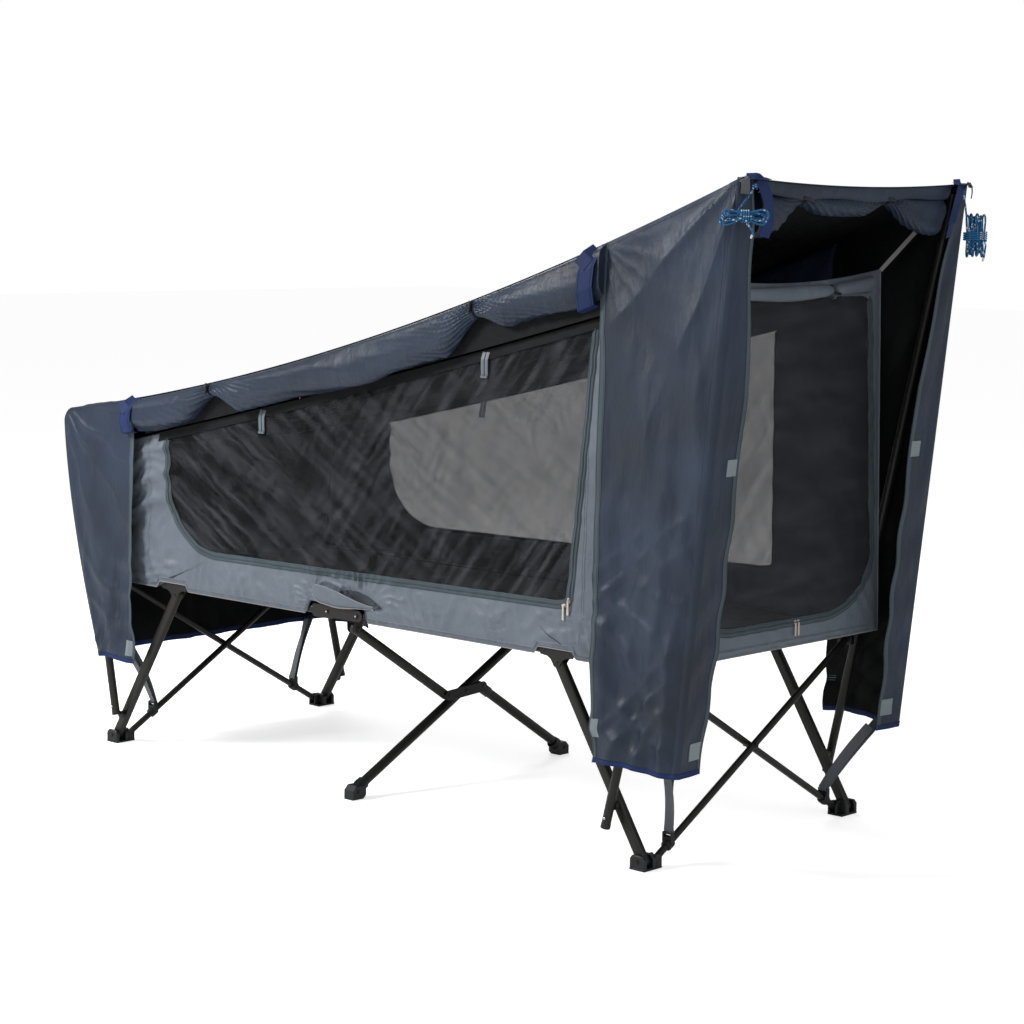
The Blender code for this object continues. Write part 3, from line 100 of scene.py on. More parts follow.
class Nodes:
    """A short way to wire a material's nodes."""

    def __init__(self, name):
        self.material = bpy.data.materials.new(name)
        self.material.use_nodes = True
        self.tree = self.material.node_tree
        self.shader = self.tree.nodes["Principled BSDF"]
        self.output = self.tree.nodes["Material Output"]

    def make(self, kind, values=None, **settings):
        node = self.tree.nodes.new(kind)
        for key, value in settings.items():
            setattr(node, key, value)
        for key, value in (values or {}).items():
            self.put(node.inputs[key], value)
        return node

    def put(self, socket, value):
        if hasattr(value, "is_output"):
            self.tree.links.new(value, socket)
        else:
            socket.default_value = value

    def set(self, **values):
        for key, value in values.items():
            self.put(self.shader.inputs[key.replace("_", " ")], value)

    def maths(self, operation, a, b=0.0):
        node = self.make("ShaderNodeMath", operation=operation)
        self.put(node.inputs[0], a)
        self.put(node.inputs[1], b)
        return node.outputs[0]

    def mix(self, share, a, b):
        node = self.make("ShaderNodeMix", data_type="RGBA")
        self.put(node.inputs["Factor"], share)
        self.put(node.inputs["A"], a)
        self.put(node.inputs["B"], b)
        return node.outputs["Result"]

    def ramp(self, value, low, high):
        node = self.make("ShaderNodeMapRange", {"Value": value, "From Min": low, "From Max": high})
        return node.outputs["Result"]

    def noise(self, where, size, detail=3.0, stretch=(1, 1, 1), turn=0.0):
        turned = self.make("ShaderNodeMapping", {"Vector": where, "Rotation": (0, math.radians(turn), 0)}).outputs[0]
        scaled = self.make("ShaderNodeMapping", {"Vector": turned, "Scale": tuple(1 / (size * s) for s in stretch)})
        node = self.make("ShaderNodeTexNoise", {"Vector": scaled.outputs[0], "Scale": 1.0, "Detail": detail})
        return node.outputs["Fac"]

    def bump(self, height, distance, strength=1.0, normal=None):
        node = self.make("ShaderNodeBump", {"Height": height, "Distance": distance, "Strength": strength})
        if normal is not None:
            self.put(node.inputs["Normal"], normal)
        return node.outputs["Normal"]


def threads(n, pitch, grid=0.0):
    """The weave from the cloth's own flat coordinates in metres, and the stronger threads of a ripstop grid."""
    uv = n.make("ShaderNodeUVMap").outputs[0]
    split = n.make("ShaderNodeSeparateXYZ", {"Vector": uv})
    waves = []
    for axis in ("X", "Y"):
        angle = n.maths("MULTIPLY", split.outputs[axis], 2 * math.pi / pitch)
        waves.append(n.maths("SINE", angle))
    weave = n.maths("MULTIPLY", waves[0], waves[1])
    if not grid:
        return weave, None
    lines = []
    for axis in ("X", "Y"):
        place = n.maths("FRACT", n.maths("MULTIPLY", split.outputs[axis], 1 / grid))
        lines.append(n.maths("LESS_THAN", place, 0.12))
    return weave, n.maths("MAXIMUM", lines[0], lines[1])


def cloth_finish(name, colour, shade, roughness, pitch, grid, sheen, crease,
                 weave_depth=0.00004, gloss=0.5, long=1.0):
    """Woven cloth in two tones, with its weave, its soft creases and, if asked, a ripstop grid."""
    n = Nodes(name)
    where = n.make("ShaderNodeTexCoord").outputs["Object"]
    weave, rip = threads(n, pitch, grid)
    tone = n.ramp(n.noise(where, 0.18, 4.0), 0.3, 0.7)
    n.set(Base_Color=n.mix(tone, hex_colour(shade), hex_colour(colour)))
    n.set(Roughness=n.maths("ADD", roughness - 0.06, n.maths("MULTIPLY", n.noise(where, 0.012), 0.12)))
    n.set(Sheen_Weight=sheen, Sheen_Roughness=0.4, Specular_IOR_Level=gloss)
    creases = n.bump(n.noise(where, 0.036, 3.5, (1, 1, long)), crease, 1.0)
    normal = n.bump(weave, weave_depth, 0.6, creases)
    if rip is not None:
        normal = n.bump(rip, weave_depth * 2, 0.7, normal)
    n.set(Normal=normal)
    return n.material


def net_finish(name, colour, open_share, pulled=0.8):
    """Fine netting: its holes are far below a pixel, so they show as an even share of see-through."""
    n = Nodes(name)
    where = n.make("ShaderNodeTexCoord").outputs["Object"]
    along = n.make("ShaderNodeSeparateXYZ", {"Vector": where}).outputs["X"]
    # Slanting streaks where the netting gathers: there it lets less through, and its black goes towards a lighter grey
    # that is a painted sheen highlight.
    rising = n.ramp(n.noise(where, 0.020, 4.0, (9, 9, 1), 52.0), 0.42, 0.90)
    falling = n.ramp(n.noise(where, 0.020, 4.0, (8, 8, 1), -30.0), 0.42, 0.90)
    gathered_and_sheen = n.maths("MULTIPLY", n.mix(n.ramp(along, -0.60, 0.55), falling, rising), pulled)
    # Painted sheen: the light grey of the streaks.
    n.set(Base_Color=n.mix(gathered_and_sheen, hex_colour(colour), hex_colour("6A6D74")))
    n.set(Roughness=0.6, Specular_IOR_Level=0.15)
    grazing = n.make("ShaderNodeLayerWeight", {"Blend": 0.25}).outputs["Facing"]
    share = n.maths("SUBTRACT", open_share, n.maths("MULTIPLY", grazing, open_share * 0.5))
    share = n.maths("SUBTRACT", share, n.maths("MULTIPLY", gathered_and_sheen, open_share * 0.30))
    clear = n.make("ShaderNodeBsdfTransparent")
    both = n.make("ShaderNodeMixShader")
    n.put(both.inputs[0], share)
    n.put(both.inputs[1], n.shader.outputs[0])
    n.put(both.inputs[2], clear.outputs[0])
    n.tree.links.new(both.outputs[0], n.output.inputs["Surface"])
    return n.material


def hard_finish(name, colour, roughness, metallic=0.0, grain=0.0, grain_size=0.0006, worn=0.0):
    """Metal, plastic or thread, with an uneven shine and, if asked, a grain and lighter worn places."""
    n = Nodes(name)
    where = n.make("ShaderNodeTexCoord").outputs["Object"]
    base = hex_colour(colour)
    if worn:
        lighter = tuple(min(1.0, c * (1 + worn)) for c in base[:3]) + (1.0,)
        base = n.mix(n.ramp(n.noise(where, 0.03, 5.0), 0.45, 0.75), base, lighter)
    n.set(Base_Color=base, Metallic=metallic)
    n.set(Roughness=n.maths("ADD", roughness - 0.05, n.maths("MULTIPLY", n.noise(where, 0.02), 0.1)))
    if grain:
        n.set(Normal=n.bump(n.noise(where, grain_size, 2.0), grain))
    return n.material


def rope_finish():
    """Braided cord: blue strands with light flecks, from coordinates along and round the cord."""
    n = Nodes("braided polypropylene cord")
    uv = n.make("ShaderNodeUVMap").outputs[0]
    split = n.make("ShaderNodeSeparateXYZ", {"Vector": uv})
    along = n.maths("MULTIPLY", split.outputs["X"], 1 / 0.0030)
    turned = n.maths("MULTIPLY", split.outputs["Y"], 1 / 0.0024)
    left = n.maths("SINE", n.maths("MULTIPLY", n.maths("ADD", along, turned), math.pi))
    right = n.maths("SINE", n.maths("MULTIPLY", n.maths("SUBTRACT", along, turned), math.pi))
    braid = n.maths("MULTIPLY", left, right)
    cell = n.make("ShaderNodeTexVoronoi", {"Vector": uv, "Scale": 260.0})
    fleck = n.maths("GREATER_THAN", n.maths("MULTIPLY", cell.outputs["Color"], 1.0), 0.80)
    blue = n.mix(n.ramp(braid, -0.6, 0.8), hex_colour("06365F"), hex_colour("1280BE"))
    n.set(Base_Color=n.mix(fleck, blue, hex_colour("C9D8E2")), Roughness=0.5)
    n.set(Normal=n.bump(braid, 0.0005))
    return n.material


FLY = cloth_finish(
    "coated ripstop polyester", "263449", "1B2534", 0.44, 0.0009, 0.005, 0.0, 0.0042, gloss=0.4, long=3.0)
# The fly's inner face; the same near-black also paints the shade behind the rolled side doors.
FLY_INSIDE_AND_SHADE = cloth_finish(
    "silver-black inner face of the fly", "0D0F11", "0A0B0D", 0.7, 0.0009, 0.0, 0.0, 0.0016, gloss=0.2)
INNER = cloth_finish(
    "plain woven polyester of the inner tent", "68717C", "5C6570", 0.5, 0.0008, 0.0, 0.05, 0.0046)
# The inside faces of the inner tent; the same dark colour also paints the shadow under the hinge guard.
INNER_FACE_AND_SHADOW = cloth_finish(
    "coated inner face of the inner tent and painted shadow", "3C434B", "343A41", 0.65, 0.0008, 0.0, 0.0, 0.0014, gloss=0.3)
ROOF = cloth_finish(
    "black roof cloth of the inner tent", "0F1113", "0C0D0F", 0.7, 0.0009, 0.0, 0.0, 0.0014, gloss=0.2)
BED = cloth_finish("coarse woven bed polyester", "23272C", "1D2125", 0.8, 0.0016, 0.0, 0.1, 0.0006, 0.00015)
NET = net_finish("fine black insect netting", "17181B", 0.66)
# The head door's netting is the same black netting as the side doors', in a lighter grey: painted light.
HEAD_NET_LIT = net_finish("fine black insect netting of the head door", "36373C", 0.60, 0.35)
TAPE = cloth_finish("grey-green zip tape", "46545C", "3C4950", 0.75, 0.0014, 0.0, 0.1, 0.0002, 0.0001)
NAVY = cloth_finish("navy webbing and binding", "243663", "1C2B52", 0.6, 0.0016, 0.0, 0.0, 0.0004, 0.0001, 0.2)
WEBBING = cloth_finish("grey flat webbing", "5E6067", "54565D", 0.75, 0.0022, 0.0, 0.2, 0.0003, 0.00022)
PIPING = cloth_finish("pale piping cord", "918E8F", "868384", 0.7, 0.0012, 0.0, 0.1, 0.0002)
VELCRO = cloth_finish("grey loop tape", "828E95", "727D84", 0.95, 0.0013, 0.0, 0.6, 0.0004, 0.0003)
THREAD = hard_finish("polyester sewing thread", "2C333C", 0.7)
STEEL = hard_finish("bronze grey powder coated steel", "232220", 0.40, 0.35, 0.00012, 0.0009, 0.25)
DARK_STEEL = hard_finish("pressed steel, powder coated", "201E1D", 0.42, 0.35, 0.00012, 0.0009, 0.25)
PLASTIC = hard_finish("moulded black nylon", "15171A", 0.48, 0.0, 0.00008, 0.0006)
CHROME = hard_finish("chromed steel", "D4D6D8", 0.16, 1.0)
NICKEL = hard_finish("nickel plated zinc", "CFC8BC", 0.3, 1.0)
ROPE = rope_finish()
ROPE_TIP = hard_finish("melted cord end", "D8DADC", 0.5)


class Build:
    """Gathers closed shells with their own finishes into one object."""

    def __init__(self):
        self.points, self.faces, self.finishes, self.uvs, self.slots = [], [], [], [], []
        self.count = 0

    def add(self, points, faces, finish, uvs=None):
        """faces is a list of index tuples, and uvs the flat places of their corners, in metres."""
        if finish not in self.slots:
            self.slots.append(finish)
        slot = self.slots.index(finish)
        points = np.asarray(points, float)
        self.points.append(points)
        for i, face in enumerate(faces):
            self.faces.append([self.count + int(k) for k in face])
            self.finishes.append(slot)
            self.uvs.append(uvs[i] if uvs is not None else [(0.0, 0.0)] * len(face))
        self.count += len(points)

    def sheet(self, front, finish, back_finish=None, thickness=CLOTH, uv=None, wrap=False):
        """A closed cloth from a grid of outer points, with its back set inwards along the normals."""
        nu, nv = front.shape[:2]
        along = np.gradient(front, axis=0)
        if wrap:
            across = (np.roll(front, -1, axis=1) - np.roll(front, 1, axis=1)) / 2
        else:
            across = np.gradient(front, axis=1)
        back = front - unit(np.cross(along, across)) * thickness
        if uv is None:
            down = np.concatenate([[0.0], np.cumsum(np.linalg.norm(np.diff(front, axis=0), axis=2).mean(axis=1))])
            wide = np.linalg.norm(np.diff(front, axis=1), axis=2).mean(axis=0)
            wide = np.concatenate([[0.0], np.cumsum(wide)])
            uv = np.stack(np.meshgrid(down, wide, indexing="ij"), -1)
        index, flat = quads(nu, nv, wrap)
        last = np.minimum(flat[..., 1], uv.shape[1] - 1)
        places = uv[flat[..., 0], last]
        total = nu * nv
        last_row = total - nv
        rim = []
        for j in range(nv if wrap else nv - 1):
            k = (j + 1) % nv
            rim.append((j, j + total, k + total, k))
            rim.append((last_row + k, last_row + k + total, last_row + j + total, last_row + j))
        if not wrap:
            for i in range(nu - 1):
                a, b = i * nv, (i + 1) * nv
                rim.append((b, b + total, a + total, a))
                a, b = a + nv - 1, b + nv - 1
                rim.append((a, a + total, b + total, b))
        points = np.concatenate([front.reshape(-1, 3), back.reshape(-1, 3)])
        uvs = places.tolist() + [[(0.0, 0.0)] * 4] * len(rim)
        self.add(points, index.tolist() + rim, finish, uvs)
        turned = [0, 3, 2, 1]
        behind = (index[:, turned] - total).tolist()
        self.add(np.zeros((0, 3)), behind, back_finish or finish, places[:, turned].tolist())

    def take(self, mesh, finish):
        """Adds a mesh that Geometry Nodes made."""
        points = np.zeros(len(mesh.vertices) * 3)
        mesh.vertices.foreach_get("co", points)
        self.add(points.reshape(-1, 3), [tuple(face.vertices) for face in mesh.polygons], finish)

    def object(self, name, side="near"):
        """One object of it all. The far side's is the near side's, mirrored."""
        points = np.concatenate(self.points) - np.array([ORIGIN_X, 0, 0])
        if side == "far":
            points = points * np.array([1, -1, 1])
        faces = [face[::-1] for face in self.faces] if side == "far" else self.faces
        uvs = [list(uv)[::-1] for uv in self.uvs] if side == "far" else self.uvs
        mesh = bpy.data.meshes.new(name)
        mesh.from_pydata(points.tolist(), [], faces)
        mesh.polygons.foreach_set("material_index", np.array(self.finishes, np.int32))
        layer = mesh.uv_layers.new(name="UVMap")
        layer.data.foreach_set("uv", np.concatenate([np.asarray(uv, float) for uv in uvs]).ravel())
        for finish in self.slots:
            mesh.materials.append(finish)
        mesh.shade_smooth()
        mesh.set_sharp_from_angle(angle=math.radians(SHARP_DEG))
        made = bpy.data.objects.new(name, mesh)
        bpy.context.scene.collection.objects.link(made)
        return made

    def piece(self, name, follows, node=None, slot=None, side="near"):
        """Its object, which follows a body, or, if it spans the bed, follows the near side with a mesh of its own."""
        made = self.object(name, side)
        if follows in SPANS:
            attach(made, "near_side")
            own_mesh(made)
        else:
            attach(made, follows)
        if node:
            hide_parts(node)
        return made


def unit(v):
    v = np.asarray(v, float)
    return v / np.maximum(np.linalg.norm(v, axis=-1, keepdims=True), 1e-12)


def quads(nu, nv, wrap=False):
    i, j = np.meshgrid(np.arange(nu - 1), np.arange(nv if wrap else nv - 1), indexing="ij")
    i, j = i.ravel(), j.ravel()
    k = (j + 1) % nv
    index = np.stack([i * nv + j, (i + 1) * nv + j, (i + 1) * nv + k, i * nv + k], 1)
    flat = np.stack([np.stack(pair, 1) for pair in ((i, j), (i + 1, j), (i + 1, j + 1), (i, j + 1))], 1)
    return index, flat


def lengths(line):
    steps = np.linalg.norm(np.diff(line, axis=0), axis=1)
    return np.concatenate([[0.0], np.cumsum(steps)])


def skin(build, rings, finish):
    """A tube-like shell through rings of points, shaped (count, round, 3)."""
    rings = np.asarray(rings, float)
    nu, nv = rings.shape[:2]
    index, flat = quads(nu, nv, True)
    along = lengths(rings[:, 0])
    widest = rings[np.argmax(np.ptp(rings, axis=1).sum(axis=1))]
    around = lengths(np.vstack([widest, widest[:1]]))
    places = np.stack([along[flat[..., 0]], around[flat[..., 1]]], -1).tolist()
    faces = index.tolist() + [list(range(nv))[::-1], [(nu - 1) * nv + k for k in range(nv)]]
    for ring in (rings[0][::-1], rings[-1]):
        centre = ring.mean(axis=0)
        first = unit(ring[0] - centre)
        second = np.cross(unit(np.cross(ring[0] - centre, ring[len(ring) // 4] - centre)), first)
        places.append([((p - centre) @ first, (p - centre) @ second) for p in ring])
    points = rings.reshape(-1, 3)
    if signed_volume(points, faces) < 0:
        faces = [face[::-1] for face in faces]
        places = [list(place)[::-1] for place in places]
    build.add(points, faces, finish, places)


def signed_volume(points, faces):
    total = 0.0
    for face in faces:
        a = points[face[0]]
        for k in range(1, len(face) - 1):
            total += a @ np.cross(points[face[k]], points[face[k + 1]])
    return total


def basis(along, side=None):
    along = unit(along)
    guess = np.array(side if side is not None else ((0, 0, 1) if abs(along[2]) < 0.9 else (1, 0, 0)), float)
    first = unit(guess - along * (guess @ along))
    return first, np.cross(along, first)


def circle(centre, first, second, a, b, sides, power=1.0):
    """A round or, with a power under one, a squarer outline about a centre."""
    t = np.arange(sides) * 2 * math.pi / sides
    c, s = np.cos(t), np.sin(t)
    c, s = np.sign(c) * np.abs(c) ** power, np.sign(s) * np.abs(s) ** power
    return np.asarray(centre) + np.outer(c * a, first) + np.outer(s * b, second)


def bar(build, start, end, radius, finish, sides=32, edge=0.0, domed=0.0, side=None, flat=1.0, power=1.0):
    """A straight bar with eased or domed ends. flat makes it an oval and power makes it squarer."""
    start, end = np.asarray(start, float), np.asarray(end, float)
    along = unit(end - start)
    first, second = basis(along, side)
    stations = []
    for base, way in ((start, -1), (end, 1)):
        if domed:
            rows = [(domed * math.sin(a), math.cos(a)) for a in np.linspace(0, math.pi / 2 - 0.12, 7)]
        elif edge:
            rows = [(-edge, 1.0), (-edge * 0.3, 1 - 0.3 * edge / radius), (0.0, 1 - edge / radius)]
        else:
            rows = [(0.0, 1.0)]
        rows = [(base + along * way * out, share) for out, share in rows]
        stations += rows[::-1] if way < 0 else rows
    rings = [circle(p, first, second, radius * s, radius * flat * s, sides, power) for p, s in stations]
    skin(build, rings, finish)


def tube(build, path, radius, finish, sides=12, ends_round=True):
    """A tube along a line of points, kept from twisting."""
    path = np.asarray(path, float)
    tangent = unit(np.gradient(path, axis=0))
    first, _ = basis(tangent[0])
    rings = []
    for p, t in zip(path, tangent):
        first = unit(first - t * (first @ t))
        rings.append(circle(p, first, np.cross(t, first), radius, radius, sides))
    if ends_round:
        eased = []
        for ring, t in ((rings[0], -tangent[0]), (rings[-1], tangent[-1])):
            centre = ring.mean(axis=0)
            eased.append(centre + (ring - centre) * 0.6 + t * radius * 0.5)
        rings = [eased[0], *rings, eased[1]]
    skin(build, rings, finish)


def inset(outline, width):
    """The outline moved inwards by a width, for bevels. It runs anticlockwise."""
    outline = np.asarray(outline, float)
    before = unit(outline - np.roll(outline, 1, axis=0))
    after = unit(np.roll(outline, -1, axis=0) - outline)
    normal = unit(np.stack([-(before[:, 1] + after[:, 1]), before[:, 0] + after[:, 0]], 1))
    turn = np.maximum(0.35, np.sum(np.stack([-before[:, 1], before[:, 0]], 1) * normal, axis=1))
    return outline + normal * (width / turn)[:, None]


def area_of(outline):
    outline = np.asarray(outline, float)
    x, y = outline[:, 0], outline[:, 1]
    return 0.5 * np.sum(x * np.roll(y, -1) - y * np.roll(x, -1))


def plate(build, outline, origin, u, v, low, high, finish, edge=0.0006):
    """An outline in the plane of u and v, pushed out from low to high along their normal, with eased edges."""
    outline = np.asarray(outline, float)
    if area_of(outline) < 0:
        outline = outline[::-1]
    origin, u, v = (np.asarray(q, float) for q in (origin, u, v))
    n = np.cross(u, v)
    edge = min(edge, (high - low) * 0.45)
    rings = []
    for height, width in ((low, edge), (low + edge, 0.0), (high - edge, 0.0), (high, edge)):
        flat = inset(outline, width) if width else outline
        rings.append(origin + np.outer(flat[:, 0], u) + np.outer(flat[:, 1], v) + n * height)
    skin(build, rings, finish)


def block(build, low, high, finish, edge=0.001):
    """A box with eased edges."""
    low, high = np.minimum(low, high), np.maximum(low, high)
    w, d = (high - low)[:2]
    c = min(edge, w / 3, d / 3)
    outline = [(c, 0), (w - c, 0), (w, c), (w, d - c), (w - c, d), (c, d), (0, d - c), (0, c)]
    plate(build, outline, low, *XY, 0.0, high[2] - low[2], finish, edge)


def arc(centre, radius, start_deg, end_deg, steps=10):
    t = np.radians(np.linspace(start_deg, end_deg, steps + 1))
    return [(centre[0] + radius * math.cos(a), centre[1] + radius * math.sin(a)) for a in t]


def stadium(a, b, half, steps=10):
    heading = math.degrees(math.atan2(b[1] - a[1], b[0] - a[0]))
    return arc(a, half, heading + 90, heading + 270, steps) + arc(b, half, heading - 90, heading + 90, steps)


def rivet(build, place, axis, radius, height):
    """A domed rivet head."""
    place, axis = np.asarray(place, float), unit(axis)
    bar(build, place - axis * height * 0.5, place + axis * height * 0.4, radius, DARK_STEEL, 24, 0, height * 0.6)


def bolt(build, place, axis, radius, height, finish=DARK_STEEL):
    """A hexagon bolt head on a washer."""
    place, axis = np.asarray(place, float), unit(axis)
    bar(build, place - axis * height * 0.5, place + axis * height * 0.3, radius * 1.35, finish, 28, height * 0.1)
    bar(build, place, place + axis * height, radius, finish, 6, height * 0.25)


def lerp(a, b, share):
    return a + (b - a) * share


def smooth(value):
    value = np.clip(value, 0, 1)
    return value * value * (3 - 2 * value)


# The steel frame

def pole_at(end, height):
    low, high = POLES[end]
    return low + (high - low) * (height - low[2]) / (high[2] - low[2])


def show_rail(side, end):
    way = ENDS[end]
    b = Build()
    start = (-0.010 if end == "head" else -0.014, -SIDE_Y, RAIL_Z)
    bar(b, start, (way * (RAIL_END_X - 0.012), -SIDE_Y, RAIL_Z), RAIL_R, STEEL, 40, 0.0006)
    cap = (way * (RAIL_END_X - 0.014), -SIDE_Y, RAIL_Z)
    bar(b, cap, (way * RAIL_END_X, -SIDE_Y, RAIL_Z), RAIL_R + 0.0006, PLASTIC, 40, 0.0012)
    top = way * LEG_TOP_X
    half = LEG_THICK / 2 + 0.0005
    outline = [(top - 0.052, RAIL_Z), (top - 0.052, 0.4615), (top - 0.030, 0.4590), (top - 0.019, 0.4530)]
    outline += arc((top, LEG_TOP_Z), 0.0125, -160, -20, 12)
    outline += [(top + 0.019, 0.4530), (top + 0.030, 0.4590), (top + 0.052, 0.4615), (top + 0.052, RAIL_Z)]
    for low in (SIDE_Y - half - 0.002, SIDE_Y + half):
        plate(b, outline, ZERO, *XZ, low, low + 0.002, DARK_STEEL, 0.0005)
    shell = arc((-SIDE_Y, RAIL_Z), RAIL_R + 0.0016, 0, 180, 14) + arc((-SIDE_Y, RAIL_Z), RAIL_R + 0.0002, 180, 0, 14)
    plate(b, shell, (top - 0.052, 0, 0), *YZ, 0, 0.104, DARK_STEEL, 0.0004)
    for way_y in (-1, 1):
        rivet(b, (top, -SIDE_Y + way_y * (half + 0.002), LEG_TOP_Z), (0, way_y, 0), 0.0058, 0.002)
        for dx in (-0.040, 0.040):
            rivet(b, (top + dx, -SIDE_Y + way_y * (half + 0.002), RAIL_Z - 0.004), (0, way_y, 0), 0.0032, 0.0014)
    lug_y = -CROSS_Y - CROSS_R - 0.0025
    lug = [(0, 0), (0.040, 0), (0.040, 0.020), (0.034, 0.0272), (0.006, 0.0272), (0, 0.020)]
    plate(b, lug, (way * FOOT_X - 0.020, lug_y, 0.434), *XZ, 0.0, 0.016, PLASTIC, 0.0016)
    root = way * (RAIL_END_X - 0.022)
    block(b, (root, lug_y - 0.016, 0.4592), (way * RAIL_END_X, lug_y - 0.002, RAIL_Z), PLASTIC, 0.0015)
    for step in (-0.011, 0.011):
        rivet(b, (way * FOOT_X + step, lug_y, 0.4476), (0, 1, 0), 0.0040, 0.0012)
    low, high = POLES[end]
    along = unit(high - low)
    middle = pole_at(end, RAIL_Z)
    out = POLE_R + 0.0017
    profile = [(-0.015, out - 0.0008), (-0.0142, out), (0.0142, out), (0.015, out - 0.0008)]
    profile += [(0.015, POLE_R + 0.0005), (-0.015, POLE_R + 0.0005)]
    hollow(b, middle, along, profile, PLASTIC, 36)
    for reach, inner_y in ((way * RAIL_END_X, SIDE_Y), (middle[0], 0.4055)):
        block(b, (root, -0.422, RAIL_Z - 0.00625), (reach, -inner_y - 0.0001, RAIL_Z + 0.00625), PLASTIC, 0.0012)
    b.piece(f"{side}_rail_{end}", BODIES[side], f"{side}_rail_{end}_half", "coated_steel", side)


def hollow(build, centre, along, profile, finish, sides=32):
    """A ring: a closed profile of (height, radius) pairs turned about an axis."""
    first, second = basis(along)
    rings = []
    t = np.arange(sides) * 2 * math.pi / sides
    for height, radius in profile:
        spokes = np.outer(np.cos(t), first) + np.outer(np.sin(t), second)
        rings.append(np.asarray(centre) + np.asarray(along) * height + spokes * radius)
    rings.append(rings[0])
    rings = np.array(rings)
    nu, nv = rings.shape[:2]
    index, flat = quads(nu, nv, True)
    index = np.where(index >= (nu - 1) * nv, index - (nu - 1) * nv, index)
    down = np.concatenate([[0], np.cumsum(np.hypot(*np.diff(np.array(profile + [profile[0]]), axis=0).T))])
    around = np.arange(nv + 1) * 2 * math.pi / nv * profile[0][1]
    uvs = np.stack([down[flat[..., 0]], around[flat[..., 1]]], -1).tolist()
    points = rings[:-1].reshape(-1, 3)
    faces = index.tolist()
    if signed_volume(points, faces) < 0:
        faces, uvs = [f[::-1] for f in faces], [u[::-1] for u in uvs]
    build.add(points, faces, finish, uvs)


def show_bracket(side):
    b = Build()
    half, inside = RAIL_R + 0.0025, RAIL_R + 0.0005
    low, high = RAIL_Z - 0.018, RAIL_Z + half
    outline = arc((BRACKET_HEAD_X - half, RAIL_Z), half, 90, -90, 14)
    outline += [(-0.060, RAIL_Z - half), (-0.072, low), (-BRACKET_FOOT_X + 0.006, low)]
    outline += [(-BRACKET_FOOT_X, low + 0.006), (-BRACKET_FOOT_X, high - 0.004), (-BRACKET_FOOT_X + 0.004, high)]
    for start in (SIDE_Y - half, SIDE_Y + inside):
        plate(b, outline, ZERO, *XZ, start, start + 0.002, DARK_STEEL, 0.0005)
    roof_low = (-BRACKET_FOOT_X + 0.003, -SIDE_Y - half + 0.0005, high - 0.002)
    block(b, roof_low, (BRACKET_HEAD_X - half, -SIDE_Y + half - 0.0005, high), DARK_STEEL, 0.0008)
    for x in BRACKET_BOLTS_X:
        bolt(b, (x, -SIDE_Y - half, RAIL_Z), (0, -1, 0), 0.0056, 0.0034, PLASTIC)
        dot = (x, -SIDE_Y - half - 0.0030, RAIL_Z)
        bar(b, dot, (x, -SIDE_Y - half - 0.0040, RAIL_Z), 0.0021, CHROME, 16, 0.0003)
        bolt(b, (x, -SIDE_Y + half, RAIL_Z), (0, 1, 0), 0.0052, 0.0022)
    knuckle = SCISSOR_R + 0.0005
    cheek = [(-SIDE_Y - 0.013, RAIL_Z - inside), (-SIDE_Y - 0.0118, KNUCKLE_Z)]
    cheek += arc((-SIDE_Y, KNUCKLE_Z), 0.0118, 180, 360, 14) + [(-SIDE_Y + 0.013, RAIL_Z - inside)]
    for way in (-1, 1):
        at = knuckle if way > 0 else -knuckle - 0.002
        plate(b, cheek, ZERO, *YZ, at, at + 0.002, DARK_STEEL, 0.0005)
        rivet(b, (way * (knuckle + 0.002), -SIDE_Y, KNUCKLE_Z), (way, 0, 0), 0.0056, 0.0024)
    bar(b, (-knuckle, -SIDE_Y, KNUCKLE_Z), (knuckle, -SIDE_Y, KNUCKLE_Z), 0.004, DARK_STEEL, 16)
    b.piece(f"{side}_bracket", BODIES[side], f"{side}_hinge_bracket", "coated_steel", side)


def show_leg(side, end):
    way = ENDS[end]
    b = Build()
    top = np.array([way * LEG_TOP_X, -SIDE_Y, LEG_TOP_Z])
    foot = np.array([way * FOOT_X, -SIDE_Y, FOOT_Z])
    along = unit(foot - top)
    across = np.cross(along, (0, 1, 0))
    rings = []
    reach = np.linalg.norm(foot - top)
    ends = [(0.0, 0.45), (0.0016, 0.66), (0.0045, 0.86), (0.009, 0.975), (LEG_HALF, 1.0)]
    rows = [(-LEG_HALF + d, s) for d, s in ends]
    rows += [(reach + LEG_HALF - d, s) for d, s in ends[::-1]]
    for at, share in rows:
        thick = LEG_THICK / 2 * lerp(0.93, 1.0, share)
        rings.append(circle(top + along * at, across, (0, 1, 0), LEG_HALF * share, thick, 40, 0.55))
    skin(b, rings, STEEL)
    low, high = POLES[end]
    slope = (high[0] - low[0]) / (high[2] - low[2])
    leg_slope = (foot[0] - top[0]) / (foot[2] - top[2])
    z = (top[0] - low[0] - leg_slope * top[2] + slope * low[2]) / (slope - leg_slope)
    meet = pole_at(end, z)
    spacer = (meet[0], -SIDE_Y - LEG_THICK / 2 + 0.001, z)
    bar(b, spacer, (meet[0], meet[1] + POLE_R + 0.0013, z), 0.010, PLASTIC, 32, 0.0012)
    b.piece(f"{side}_{end}_leg_tube", f"{side}_{end}_leg", f"{side}_{end}_leg", "coated_steel", side)


def tube_x(side, end):
    return ENDS[end] * FOOT_X - SIDES[side] * CROSS_STEP


